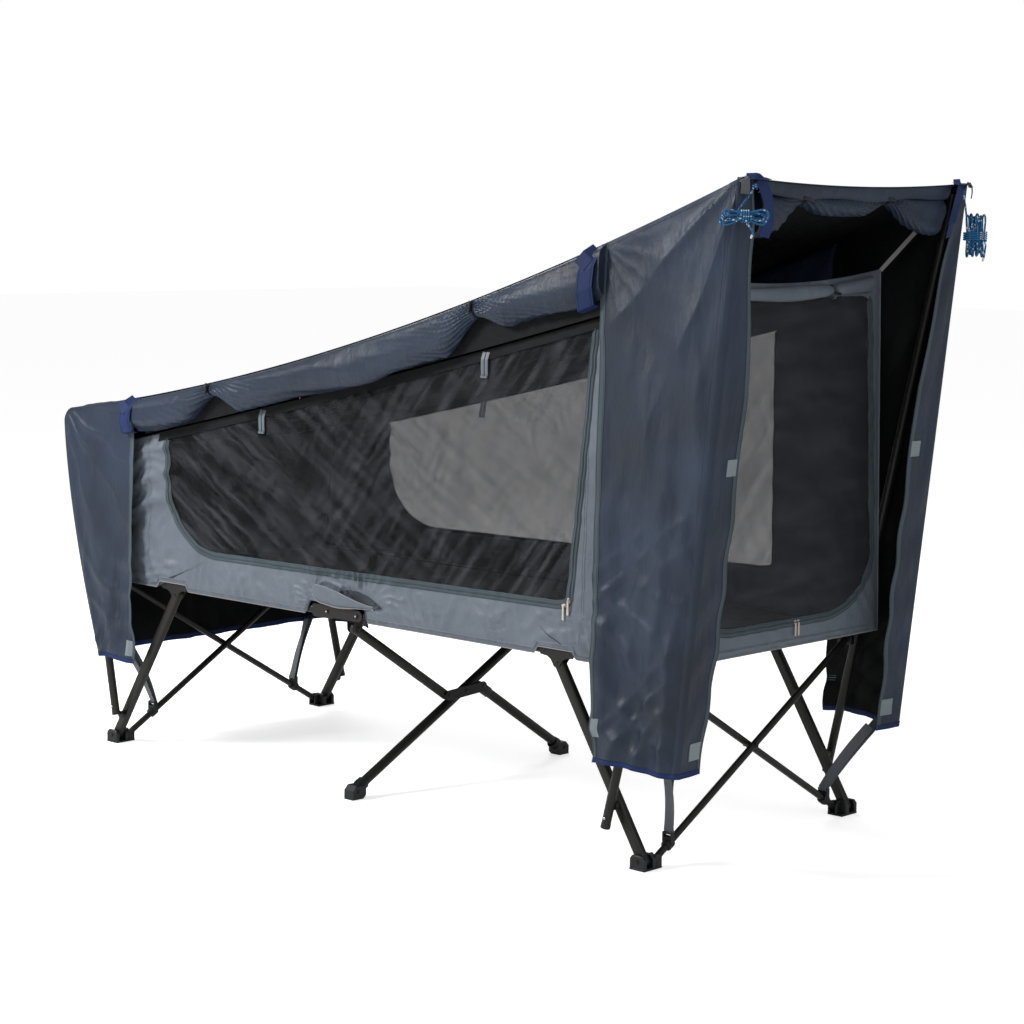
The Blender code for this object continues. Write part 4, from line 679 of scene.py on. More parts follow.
def show_foot(side, end):
    b = Build()
    x, outer = ENDS[end] * FOOT_X, -0.4135
    w = 0.0225
    cheek = [(-w, 0.004), (w, 0.004), (w, 0.027), (w - 0.007, 0.035), (-w + 0.007, 0.035), (-w, 0.027)]
    plate(b, cheek, (x, 0, 0), *XZ, 0.4029, -outer, PLASTIC, 0.0018)
    plate(b, [(-w, 0), (w, 0), (w, 0.0635), (-w, 0.0635)], (x, outer, 0), *XY, 0, 0.0056, PLASTIC, 0.0016)
    plate(b, cheek, (x, 0, 0), *XZ, 0.3676, 0.3811, PLASTIC, 0.0016)
    at = tube_x(side, end)
    ear = [(-0.350, 0.003), (-0.350, 0.026), (-0.357, 0.034), (-0.372, 0.034), (-0.372, 0.003)]
    for start in (at - CROSS_R - 0.0055, at + CROSS_R + 0.0005):
        start = max(start, x - w)
        stop = min(start + 0.005, x + w)
        plate(b, ear, ZERO, *YZ, start, stop, PLASTIC, 0.0012)
        rivet(b, (start if start < at else stop, -CROSS_Y, FOOT_Z), (-1 if start < at else 1, 0, 0), 0.0038, 0.0012)
    bar(b, (at - 0.012, -CROSS_Y, FOOT_Z), (at + 0.012, -CROSS_Y, FOOT_Z), 0.003, DARK_STEEL, 16)
    bar(b, (x, -0.404, FOOT_Z), (x, -0.372, FOOT_Z), 0.004, DARK_STEEL, 16)
    bolt(b, (x, outer, FOOT_Z - 0.001), (0, -1, 0), 0.0050, 0.0022)
    for dx in (-0.013, 0.013):
        block(b, (x + dx - 0.0011, outer - 0.0006, 0.006), (x + dx + 0.0011, outer + 0.002, 0.025), PLASTIC, 0.0004)
    b.piece(f"{side}_{end}_shoe", f"{side}_{end}_foot", f"{side}_{end}_foot", "nylon", side)


def cross_line(side, end):
    x = tube_x(side, end)
    return np.array([x, -CROSS_Y, FOOT_Z]), np.array([x, CROSS_Y, CROSS_TOP_Z])


def show_cross_tube(side, end):
    b = Build()
    low, high = cross_line(side, end)
    along = unit(high - low)
    bar(b, low, high, CROSS_R, STEEL, 32, 0, CROSS_R)
    bar(b, high - along * 0.010, high + along * 0.0005, CROSS_R + 0.0005, PLASTIC, 32, 0, CROSS_R)
    middle = (low + high) / 2
    out = -SIDES[side]
    washer = middle + (out * CROSS_R * 0.5, 0, 0)
    bar(b, washer, middle + (out * (CROSS_R + 0.0008), 0, 0), 0.0075, DARK_STEEL, 28, 0.0003)
    rivet(b, middle + (out * (CROSS_R + 0.0006), 0, 0), (out, 0, 0), 0.0052, 0.0022)
    b.piece(f"{side}_{end}_crossed_tube", f"{side}_{end}_tube", f"{side}_{end}_cross_tube", "coated_steel", side)


def clip_places(side, end):
    low, high = cross_line(side, end)
    along = unit(high - low)
    at = 0.040 if end == "head" else 0.085
    start, stop = low + along * at, low + along * (at + 0.022)
    return start, stop, along


def show_clip(side, end):
    """A ladder-lock clip: a split ring round the tube and a buckle frame that the strap goes through."""
    b = Build()
    start, stop, along = clip_places(side, end)
    middle = (start + stop) / 2
    ring = [(-0.011, 0.0120), (-0.0102, 0.0128), (0.0102, 0.0128), (0.011, 0.0120), (0.011, 0.0089), (-0.011, 0.0089)]
    hollow(b, middle, along, ring, PLASTIC, 36)
    rib = [(-0.0011, 0.0127), (-0.0006, 0.0137), (0.0006, 0.0137), (0.0011, 0.0127)]
    for at in (-0.006, 0.0, 0.006):
        hollow(b, middle + along * at, along, rib, PLASTIC, 36)
    x, y, z = middle
    top = z + CROSS_R + 0.020
    for way in (-1, 1):
        block(b, (x + way * 0.0145, y - 0.0060, z + 0.004), (x + way * 0.0100, y + 0.0060, top), PLASTIC, 0.0012)
    block(b, (x - 0.012, y - 0.0065, z + 0.0115), (x + 0.012, y + 0.0065, z + 0.0170), PLASTIC, 0.0012)
    for dy, dz in ((-0.0040, 0.0), (0.0040, 0.0), (0.0, -0.0065)):
        level = top - 0.0030 + dz
        bar(b, (x - 0.0125, y + dy, level), (x + 0.0125, y + dy, level), 0.0019, PLASTIC, 16, 0.0004)
    b.piece(f"{side}_{end}_ladder_clip", f"{side}_{end}_tube", f"{side}_{end}_strap_clip", "nylon", side)
    return middle, top


def show_scissor():
    near_top = np.array([0, -SIDE_Y, KNUCKLE_Z])
    far_top = np.array([0, SIDE_Y, KNUCKLE_Z])
    near_foot = np.array([0, -SIDE_Y, MIDDLE_Z])
    far_foot = np.array([0, SIDE_Y, MIDDLE_Z])
    middle = (near_top + far_foot) / 2
    b = Build()
    bar(b, near_foot, far_top, SCISSOR_R, STEEL, 40, 0, SCISSOR_R)
    bar(b, middle + (SCISSOR_R * 0.5, 0, 0), middle + (SCISSOR_R + 0.0010, 0, 0), 0.0085, DARK_STEEL, 28, 0.0003)
    rivet(b, middle + (SCISSOR_R + 0.0052, 0, 0), (1, 0, 0), 0.0058, 0.0024)
    bar(b, middle, middle + (SCISSOR_R + 0.0060, 0, 0), 0.0040, DARK_STEEL, 16)
    b.piece("straight_centre_leg", "leg_b", "scissor_leg_b", "coated_steel")
    upper_end = middle + (0, -SCISSOR_GAP, -SCISSOR_DROP)
    lower_start = middle + (0, SCISSOR_GAP, SCISSOR_DROP)
    plate_x = SCISSOR_R + 0.0023
    b = Build()
    bar(b, near_top, upper_end, SCISSOR_R, STEEL, 40, 0, SCISSOR_R)
    b.piece("upper_centre_tube", "leg_a", "scissor_leg_a_upper", "coated_steel")
    b = Build()
    bar(b, lower_start, far_foot, SCISSOR_R, STEEL, 40, 0, SCISSOR_R)
    along = unit(far_foot - lower_start)
    sleeve = lower_start + along * (SCISSOR_R + 0.015)
    profile = [(-0.015, 0.0126), (-0.015, 0.0141), (-0.0142, 0.0145)]
    profile += [(-height, radius) for height, radius in profile[::-1]]
    hollow(b, sleeve, along, profile, PLASTIC, 40)
    b.piece("lower_centre_tube", "leg_a", "scissor_leg_a_lower", "coated_steel")
    b = Build()
    outline = stadium((upper_end[1], upper_end[2]), (lower_start[1], lower_start[2]), 0.0138, 14)
    plate(b, outline, ZERO, *YZ, plate_x, plate_x + 0.003, DARK_STEEL, 0.0006)
    for place in (upper_end, lower_start):
        rivet(b, place + (plate_x + 0.003, 0, 0), (1, 0, 0), 0.0058, 0.0020)
        bar(b, place + (SCISSOR_R * 0.8, 0, 0), place + (plate_x + 0.001, 0, 0), 0.0070, DARK_STEEL, 24)
    b.piece("offset_link", "leg_a", "scissor_offset_plate", "coated_steel")


def show_middle_foot(side):
    b = Build()
    outer, inner, h, w = -0.4095, -0.3635, 0.036, 0.0185
    outline = [(outer, 0), (inner - 0.009, 0), (inner, 0.009), (inner, h), (outer + 0.012, h), (outer, h * 2 / 3)]
    plate(b, outline, ZERO, *YZ, -w, w, PLASTIC, 0.0022)
    rise = (KNUCKLE_Z - MIDDLE_Z) / (2 * SIDE_Y)
    centre = np.array([0, inner, MIDDLE_Z + (inner + SIDE_Y) * rise])
    along = unit(np.array([0, 1, rise]))
    inside = SCISSOR_R + 0.0004
    profile = [(-0.012, inside), (-0.012, 0.0170), (0.006, 0.0165), (0.0075, 0.0150), (0.0075, inside)]
    hollow(b, centre, along, profile, PLASTIC, 36)
    for way in (-1, 1):
        bolt(b, (way * w, -SIDE_Y, MIDDLE_Z), (way, 0, 0), 0.0050, 0.0020)
        rib = (way * (w - 0.001), outer + 0.006, 0.004)
        block(b, rib, (way * (w + 0.0006), outer + 0.008, h * 0.55), PLASTIC, 0.0003)
    b.piece(f"{side}_middle_shoe", "leg_b" if side == "near" else "leg_a", f"{side}_middle_foot", "nylon", side)


def show_upright(side, end):
    b = Build()
    low, high = POLES[end]
    along = unit(high - low)
    bar(b, low + along * 0.004, high - along * 0.010, POLE_R, STEEL, 36, 0.0004)
    bar(b, low, low + along * 0.012, POLE_R + 0.0005, PLASTIC, 36, 0.0010)
    bar(b, high - along * 0.012, high, POLE_R + 0.0003, PLASTIC, 36, 0.0022)
    at = low + along * 0.026
    face = at[1] - POLE_R
    ring = [(-0.0004, 0.0037), (0.0004, 0.0037), (0.0004, 0.0050), (-0.0004, 0.0052)]
    hollow(b, (at[0], face + 0.0004, at[2]), (0, -1.0, 0), ring, DARK_STEEL, 24)
    b.piece(f"{side}_{end}_tent_pole", f"{side}_{end}_upright", f"{side}_{end}_upright", "coated_steel", side)
    b = Build()
    bar(b, (at[0], face + 0.0077, at[2]), (at[0], face - 0.0008, at[2]), 0.0034, CHROME, 24, 0, 0.0018)
    b.piece(f"{side}_{end}_button", f"{side}_{end}_button", f"{side}_{end}_spring_button", "chrome", side)


CLIPS = {}
for side_name in SIDES:
    show_bracket(side_name)
    show_middle_foot(side_name)
    for end_name in ENDS:
        show_rail(side_name, end_name)
        show_leg(side_name, end_name)
        show_foot(side_name, end_name)
        show_cross_tube(side_name, end_name)
        show_upright(side_name, end_name)
        CLIPS[side_name, end_name] = show_clip(side_name, end_name)
show_scissor()


# Cloth: uneven waves, parallel folds and folds that run out from a pulled point

def waves(seed, count, low, high):
    """Smooth uneven waves, with wavelengths in metres."""
    rng = np.random.default_rng(seed)
    length = rng.uniform(low, high, count)
    heading = rng.uniform(-math.pi, math.pi, count)
    phase = rng.uniform(0, 2 * math.pi, count)

    def value(u, v):
        turns = [(math.cos(h) * u + math.sin(h) * v) * 2 * math.pi / n + f for h, n, f in zip(heading, length, phase)]
        return sum(np.sin(turn) for turn in turns) / math.sqrt(count)

    return value


def folds(u, v, pitch, slant_deg, seed, wander=0.35, sharp=1.6):
    """Roughly parallel folds, from 0 in the valleys to 1 on the crests. The slant is the way across them."""
    slant = math.radians(slant_deg)
    across = u * math.cos(slant) + v * math.sin(slant)
    bend = waves(seed, 6, pitch * 2.2, pitch * 7)(u, v) * pitch * wander
    return (0.5 + 0.5 * np.sin((across + bend) * 2 * math.pi / pitch + seed)) ** sharp


def spokes(u, v, u0, v0, count, reach, seed, ease=0.03, wander=0.12):
    """Tension folds that run out from a pulled point and fade."""
    far = np.hypot(u - u0, v - v0)
    angle = np.arctan2(v - v0, u - u0)
    bend = waves(seed, 4, reach * 0.3, reach)(u, v) * wander
    wave = np.sin(count * (angle + bend) + seed)
    return (1 - np.abs(wave)) ** 1.5 * np.exp(-far / reach) * smooth(far / ease)


def roof_edge_z(x):
    return FLY_MID_Z + 0.26435 * x + 0.05722 * x * x


def inner_roof_z(x):
    share = (x + INNER_FOOT[0]) / 1.898
    line = lerp(INNER_FOOT[1], 1.290, share) - 0.048 * share * (1 - share)
    return line + 0.0574 * smooth((x - 0.84) / (INNER_HEAD[0] - 0.84))


def foot_wall_x(z):
    down = np.clip((FLY_FOOT_Z - z) / (FLY_FOOT_Z - FLY_HEM_Z), 0, 1.1)
    return (FLY_FOOT_X - FLY_HEM_X) * down ** 1.6 - FLY_FOOT_X


def head_wall_x(z):
    return lerp(WALL_HEAD_X, INNER_HEAD[0], (z - HEAD_HEM_Z) / (INNER_HEAD[1] - HEAD_HEM_Z))


def head_top_z(y):
    return INNER_HEAD[1] - HEAD_SAG * (1 - (y / HEAD_HALF) ** 2)


def resample(line, count):
    """The line again with points spread evenly."""
    line = np.asarray(line, float)
    at = lengths(line)
    even = np.linspace(0, at[-1], count)
    return np.stack([np.interp(even, at, line[:, k]) for k in range(line.shape[1])], -1)


class Rim:
    """Four runs round an opening or a panel, anticlockwise: bottom, head side, top and foot side."""

    def __init__(self, bottom, head, top, foot, counts):
        self.runs = [resample(run, n) for run, n in zip((bottom, head, top, foot), counts)]
        self.loop = np.concatenate([run[:-1] for run in self.runs])

    def patch(self):
        """A Coons patch: a smooth grid across the opening."""
        b, h, t, f = self.runs
        t, f = t[::-1], f[::-1]
        u = np.linspace(0, 1, len(b))[:, None, None]
        v = np.linspace(0, 1, len(h))[None, :, None]
        ruled = (1 - v) * b[:, None] + v * t[:, None] + (1 - u) * f[None] + u * h[None]
        corners = (1 - u) * (1 - v) * b[0] + u * (1 - v) * b[-1] + (1 - u) * v * t[0] + u * v * t[-1]
        return ruled - corners


def band_between(inner, outer, shares):
    return np.stack([lerp(inner, outer, share) for share in shares])


SIDE_COUNTS = (236, 60, 236, 60)
DOOR_X, DOOR_LOW, DOOR_R = 0.716, 0.572, 0.200
SWEEP = arc((-DOOR_X + DOOR_R, DOOR_LOW + DOOR_R), DOOR_R, 180, 270, 24)


def side_door(low, high):
    """A side door from its two head corners' places along the cot."""
    return Rim(
        SWEEP[12:] + [(low - 0.044, 0.5855), (low - 0.011, 0.590), (low, 0.604)],
        [(low, 0.604), (high, inner_roof_z(high) - 0.020)],
        [(x, inner_roof_z(x) - 0.020) for x in np.linspace(high, -DOOR_X, 40)],
        [(-DOOR_X, inner_roof_z(-DOOR_X) - 0.020)] + SWEEP[:13],
        SIDE_COUNTS,
    )


SIDE_DOORS = {"near": side_door(0.744, 0.812), "far": side_door(0.712, 0.704)}


def hem_z(x):
    """The hem rises over the metal that sticks out at the hinge and the ends."""
    rise = np.zeros_like(x)
    for low, high, top in ((-0.150, 0.050, 0.0345), (0.938, 1.000, 0.0330), (-1.1, -0.938, 0.0330)):
        rise = np.maximum(rise, top * smooth((x - low + 0.016) / 0.016) * smooth((high + 0.016 - x) / 0.016))
    rise = np.maximum(rise, (HEAD_HEM_Z - HEM_Z) * smooth((x - 0.96) / 0.03))
    for way in (-1, 1):
        rise = np.maximum(rise, 0.017 * smooth(1 - (np.abs(x - way * LEG_TOP_X) - 0.054) / 0.014))
    return HEM_Z + rise


HEM_LINE = np.linspace(-WALL_FOOT_X, WALL_HEAD_X, 400)
SIDE_PANEL = Rim(
    np.stack([HEM_LINE, hem_z(HEM_LINE)], -1),
    [(WALL_HEAD_X, hem_z(np.array(WALL_HEAD_X))), (INNER_HEAD[0], INNER_HEAD[1])],
    [(x, inner_roof_z(x)) for x in np.linspace(INNER_HEAD[0], -INNER_FOOT[0], 40)],
    [(-INNER_FOOT[0], INNER_FOOT[1]), (-WALL_FOOT_X, hem_z(np.array(-WALL_FOOT_X)))],
    SIDE_COUNTS,
)
HEAD_COUNTS = (70, 70, 70, 70)
HEAD_BIG = [(0.172 + 0.200 * math.cos(a), 0.683 + 0.150 * math.sin(a)) for a in np.radians(np.linspace(270, 360, 25))]
HEAD_SMALL = arc((0.327, 1.270), 0.030, 0, 90, 8)
HEAD_DOOR = Rim(
    [(-y, z) for y, z in HEAD_BIG[:13][::-1]] + HEAD_BIG[:13],
    HEAD_BIG[12:] + HEAD_SMALL[:5],
    HEAD_SMALL[4:] + [(-y, z) for y, z in HEAD_SMALL[4:][::-1]],
    [(-y, z) for y, z in HEAD_SMALL[:5][::-1]] + [(-y, z) for y, z in HEAD_BIG[12:][::-1]],
    HEAD_COUNTS,
)
HEAD_PANEL = Rim(
    [(-HEAD_HALF, HEAD_HEM_Z), (HEAD_HALF, HEAD_HEM_Z)],
    [(HEAD_HALF, HEAD_HEM_Z), (HEAD_HALF, INNER_HEAD[1])],
    [(y, head_top_z(y)) for y in np.linspace(HEAD_HALF, -HEAD_HALF, 30)],
    [(-HEAD_HALF, INNER_HEAD[1]), (-HEAD_HALF, HEAD_HEM_Z)],
    HEAD_COUNTS,
)


def on_side(flat, lift=0.0):
    """Puts (x, z) pairs on the near wall of the inner tent, with its soft creases."""
    x, z = flat[..., 0], flat[..., 1]
    foot_strip = smooth((-0.66 - x) / 0.08)
    soft = 0.0022 * folds(x, z, 0.085, 62, 3, 0.6, 1.2) + 0.0016 * folds(x, z, 0.052, 118, 5, 0.7, 1.4)
    slack = 0.0075 * folds(x, z, 0.105, 128, 7, 0.5, 1.5) + 0.0030 * folds(x, z, 0.042, 112, 8, 0.8)
    soft = soft + foot_strip * slack
    soft = soft + 0.006 * spokes(x, z, -WALL_FOOT_X + 0.02, HEM_Z + 0.03, 11, 0.16, 4)
    soft = soft + 0.008 * spokes(x, z, 0.055, HEM_Z + 0.045, 11, 0.16, 6, 0.05)
    soft = soft + 0.006 * spokes(x, z, -0.135, HEM_Z + 0.040, 9, 0.12, 10, 0.05)
    soft = soft + 0.0040 * folds(x, z, 0.046, 24, 9, 0.9, 2.2) * smooth((hem_z(x) + 0.12 - z) / 0.05)
    edge = smooth((z - hem_z(x)) / 0.03) * smooth((inner_roof_z(x) - z) / 0.03)
    edge = edge * smooth(np.hypot((x - 0.045) / 0.105, (z - 0.520) / 0.036))
    past_pole = smooth((x - 0.88) / 0.06)
    return np.stack([x, -WALL_Y + 0.0060 * past_pole - 0.0008 - soft * edge * (1 - 0.8 * past_pole) - lift, z], -1)


def net_bulge(x, z):
    """The netting hangs in shallow slanting folds from its top edge, and pulls at its lower corners."""
    soft = 0.0045 * folds(x, z, 0.150, 118, 11, 0.8, 1.1) + 0.0035 * folds(x, z, 0.060, 108, 12, 0.8, 1.4)
    soft = soft + 0.006 * spokes(x, z, -0.60, 0.60, 12, 0.25, 14) + 0.006 * spokes(x, z, 0.73, 0.60, 14, 0.3, 15)
    soft = soft + 0.004 * spokes(x, z, 0.10, 1.05, 17, 0.22, 16)
    return soft


def on_head(flat, lift=0.0, net=False):
    """Puts (y, z) pairs on the inner head wall."""
    y, z = flat[..., 0], flat[..., 1]
    soft = 0.0030 * folds(y, z, 0.075, 30, 21, 0.7, 1.3) + 0.0022 * folds(y, z, 0.05, 110, 22, 0.7, 1.3)
    if net:
        soft = soft + 0.004 * spokes(y, z, -0.33, 1.25, 15, 0.3, 23) + 0.004 * spokes(y, z, 0.33, 1.25, 15, 0.3, 24)
    edge = smooth((HEAD_HALF - np.abs(y)) / 0.02) * smooth((z - HEAD_HEM_Z) / 0.02)
    return np.stack([head_wall_x(z) + soft * edge + lift, y, z], -1)


class Stitcher:
    """Geometry Nodes that set small pieces, such as stitches or zip teeth, along a line."""

    def __init__(self):
        group = bpy.data.node_groups.new("Pieces along a line", "GeometryNodeTree")
        group.interface.new_socket("Geometry", in_out="INPUT", socket_type="NodeSocketGeometry")
        for name in ("Pitch", "Piece length", "Piece radius", "Flatness"):
            group.interface.new_socket(name, in_out="INPUT", socket_type="NodeSocketFloat")
        group.interface.new_socket("Finish", in_out="INPUT", socket_type="NodeSocketMaterial")
        group.interface.new_socket("Geometry", in_out="OUTPUT", socket_type="NodeSocketGeometry")
        make, link = group.nodes.new, group.links.new
        given, result = make("NodeGroupInput"), make("NodeGroupOutput")
        line = make("GeometryNodeMeshToCurve")
        even = make("GeometryNodeResampleCurve")
        even.mode = "LENGTH"
        piece = make("GeometryNodeMeshCylinder")
        piece.inputs["Vertices"].default_value = 6
        tangent = make("GeometryNodeInputTangent")
        turn = make("FunctionNodeAlignRotationToVector")
        turn.axis = "Z"
        place = make("GeometryNodeInstanceOnPoints")
        size = make("ShaderNodeCombineXYZ")
        size.inputs["X"].default_value = 1.0
        size.inputs["Z"].default_value = 1.0
        real = make("GeometryNodeRealizeInstances")
        finish = make("GeometryNodeSetMaterial")
        link(given.outputs["Geometry"], line.inputs["Mesh"])
        link(line.outputs["Curve"], even.inputs["Curve"])
        link(given.outputs["Pitch"], even.inputs["Length"])
        link(given.outputs["Piece length"], piece.inputs["Depth"])
        link(given.outputs["Piece radius"], piece.inputs["Radius"])
        link(tangent.outputs[0], turn.inputs["Vector"])
        link(given.outputs["Flatness"], size.inputs["Y"])
        link(even.outputs["Curve"], place.inputs["Points"])
        link(piece.outputs["Mesh"], place.inputs["Instance"])
        link(turn.outputs[0], place.inputs["Rotation"])
        link(size.outputs[0], place.inputs["Scale"])
        link(place.outputs["Instances"], real.inputs[0])
        link(real.outputs[0], finish.inputs["Geometry"])
        link(given.outputs["Finish"], finish.inputs["Material"])
        link(finish.outputs[0], result.inputs[0])
        self.group = group
        self.names = {item.name: item.identifier for item in group.interface.items_tree if item.in_out == "INPUT"}

    def along(self, build, line, finish=None, pitch=0.0032, length=0.0022, radius=0.00035, flat=1.0):
        """Sets the pieces along a line of points, and adds them to the build."""
        line = np.asarray(line, float)
        mesh = bpy.data.meshes.new("line")
        mesh.from_pydata(line.tolist(), [(i, i + 1) for i in range(len(line) - 1)], [])
        holder = bpy.data.objects.new("line", mesh)
        bpy.context.scene.collection.objects.link(holder)
        step = holder.modifiers.new("Pieces", "NODES")
        step.node_group = self.group
        values = {"Pitch": pitch, "Piece length": length, "Piece radius": radius, "Flatness": flat}
        for name, value in values.items():
            step[self.names[name]] = value
        step[self.names["Finish"]] = finish or THREAD
        graph = bpy.context.evaluated_depsgraph_get()
        made = bpy.data.meshes.new_from_object(holder.evaluated_get(graph))
        build.take(made, finish or THREAD)
        bpy.data.objects.remove(holder)
        bpy.data.meshes.remove(mesh)
        bpy.data.meshes.remove(made)


STITCHES = Stitcher()


def tape_round(build, rim, place, lift, outside=0.011, inside=0.010):
    """The zip tape down one side of a door, along its bottom and up the other, with its coil and stitches."""
    counts = [len(run) - 1 for run in rim.runs]
    pick = np.r_[sum(counts[:3]):sum(counts), 0:counts[0] + counts[1] + 1]
    loop = rim.loop
    offsets = [-inside, -inside + 0.001, -0.0022, 0.0022, outside - 0.001, outside]
    rise = [0.0, 0.0007, 0.0009, 0.0009, 0.0007, 0.0]
    rows = [place(inset(loop, -offset)[pick], lift + up) for offset, up in zip(offsets, rise)]
    build.sheet(np.stack(rows), TAPE, TAPE, 0.0007)
    line = resample(place(loop[pick], lift + 0.0016), len(pick) * 3)
    STITCHES.along(build, line, TAPE, *DOOR_COIL)
    for offset in (-inside + 0.003, outside - 0.002):
        STITCHES.along(build, place(inset(loop, -offset)[pick], lift + 0.0012))


def strip(build, line, width, facing, finish, thickness=0.0012):
    """A flat strap along a line of points, as wide as asked, turned to face a way."""
    line = np.asarray(line, float)
    tangent = unit(np.gradient(line, axis=0))
    facing = np.broadcast_to(np.asarray(facing, float), line.shape)
    side = unit(np.cross(facing, tangent))
    shares = np.linspace(-0.5, 0.5, 5)
    front = np.stack([line + side * width * share for share in shares], axis=1)
    build.sheet(front, finish, finish, thickness)


def level_line(values, height):
    """(value, height) pairs along a level line."""
    return np.stack([values, np.full_like(values, height)], -1)


def show_side_wall(side):
    """A long wall of the inner tent with its door's zip, its hem, seams, piping and tabs, and its netting."""
    b = Build()
    door = SIDE_DOORS[side]
    flat = band_between(door.loop, SIDE_PANEL.loop, np.linspace(0, 1, 30))
    b.sheet(on_side(flat), INNER, INNER_FACE_AND_SHADOW, CLOTH, flat, wrap=True)
    tape_round(b, door, on_side, 0.0007)
    top = np.linspace(-0.752, 0.846, 200)
    rows = [on_side(np.stack([top, inner_roof_z(top) - at], -1), 0.0016) for at in (0.0230, 0.012, -0.0010)]
    b.sheet(np.stack(rows), ROOF, ROOF, 0.0006)
    x = np.linspace(-WALL_FOOT_X + 0.001, WALL_HEAD_X - 0.001, 420)
    rows = []
    for at, up in ((0.014, 0.0002), (0.014 - 0.001, 0.0011), (0.001, 0.0011), (0.0, 0.0002)):
        rows.append(on_side(np.stack([x, hem_z(x) + at], -1), up))
    b.sheet(np.stack(rows), INNER, INNER, 0.0006)
    for at in (0.011, 0.0085):
        STITCHES.along(b, on_side(np.stack([x, hem_z(x) + at], -1), 0.0013))
    for low, high in ((-0.934, -0.166), (0.066, 0.934)):
        run = np.linspace(low, high, 200)
        tube(b, on_side(np.stack([run, hem_z(run) + 0.0008], -1), 0.0020), 0.0013, PIPING, 8)
    for at in (0.796, 0.803):
        seam = resample([(at, inner_roof_z(at) - 0.006), (at - 0.018, 0.500)], 60)
        STITCHES.along(b, on_side(seam, 0.0003))
    top = np.linspace(INNER_HEAD[0] - 0.001, -INNER_FOOT[0] + 0.001, 200)
    tube(b, on_side(np.stack([top, inner_roof_z(top) - 0.001], -1), 0.0004), 0.0019, ROOF, 8)
    x = np.linspace(-0.175, 0.075, 40)
    ledge = ((0.4058, 0.5010), (0.392, 0.4938), (0.3700, 0.4915))
    b.sheet(np.stack([np.stack([x, np.full(40, -at), np.full(40, up)], -1) for at, up in ledge]), BED, BED)
    # Near side only: a dark sheet on the wall under the hinge guard, a painted shadow of the guard's pocket.
    if side == "near":
        upper = [(-0.030, 0.534), (0.000, 0.540), (0.030, 0.540), (0.070, 0.530), (0.100, 0.517), (0.119, 0.507)]
        lower = [(-0.030, 0.530), (0.000, 0.518), (0.030, 0.509), (0.070, 0.503), (0.100, 0.503), (0.119, 0.505)]
        pocket_shadow = band_between(resample(lower, 60), resample(upper, 60), np.linspace(0, 1, 10))
        b.sheet(on_side(pocket_shadow, 0.0024), INNER_FACE_AND_SHADOW, INNER_FACE_AND_SHADOW)
    for low, high in ((SIDE_PANEL.runs[3][-1], SIDE_PANEL.runs[3][0]), (SIDE_PANEL.runs[1][0], SIDE_PANEL.runs[1][-1])):
        tube(b, on_side(resample([low, high], 60), 0.0002), 0.0017, INNER, 8)
    seam = resample([(-0.790, inner_roof_z(-0.790)), (-0.790, 0.500)], 60)
    STITCHES.along(b, on_side(seam, 0.0003))
    for x0 in (-0.328, 0.469):
        z0 = float(inner_roof_z(x0))
        line = [(x0, -WALL_Y - 0.004, z0 - 0.004), (x0 - 0.002, -WALL_Y - 0.009, z0 - 0.022),
                (x0 - 0.004, -WALL_Y - 0.007, z0 - 0.040), (x0 - 0.006, -WALL_Y - 0.004, z0 - 0.062)]
        for dx in (-0.0062, 0.0062):
            strip(b, resample(np.array(line) + (dx, 0, 0), 24), 0.0095, (0, -1, 0), INNER)
        hem_low = (x0 - 0.017, -WALL_Y - 0.0080, z0 - 0.066)
        block(b, hem_low, (x0 + 0.005, -WALL_Y - 0.0030, z0 - 0.060), INNER, 0.001)
    made = b.piece(f"{side}_inner_wall", BODIES[side], f"inner_{side}_wall", "inner_cloth", side)
    b = Build()
    flat = door.patch()
    x, z = flat[..., 0], flat[..., 1]
    near = 1 - np.abs(2 * np.linspace(0, 1, flat.shape[0])[:, None] - 1) ** 8
    near = near * (1 - np.abs(2 * np.linspace(0, 1, flat.shape[1])[None] - 1) ** 6)
    y = lerp(on_side(flat)[..., 1] + 0.0012, -WALL_Y - net_bulge(x, z) + 0.004, near)
    b.sheet(np.stack([x, y, z], -1), NET, NET, 0.0004, flat)
    made = b.piece(f"{side}_netting", BODIES[side], f"{side}_door_net", "netting", side)


NET_TIES = (-0.205, 0.190)
HEAD_ROLL_Z = 1.316
HEAD_ROLL_X = head_wall_x(HEAD_ROLL_Z)


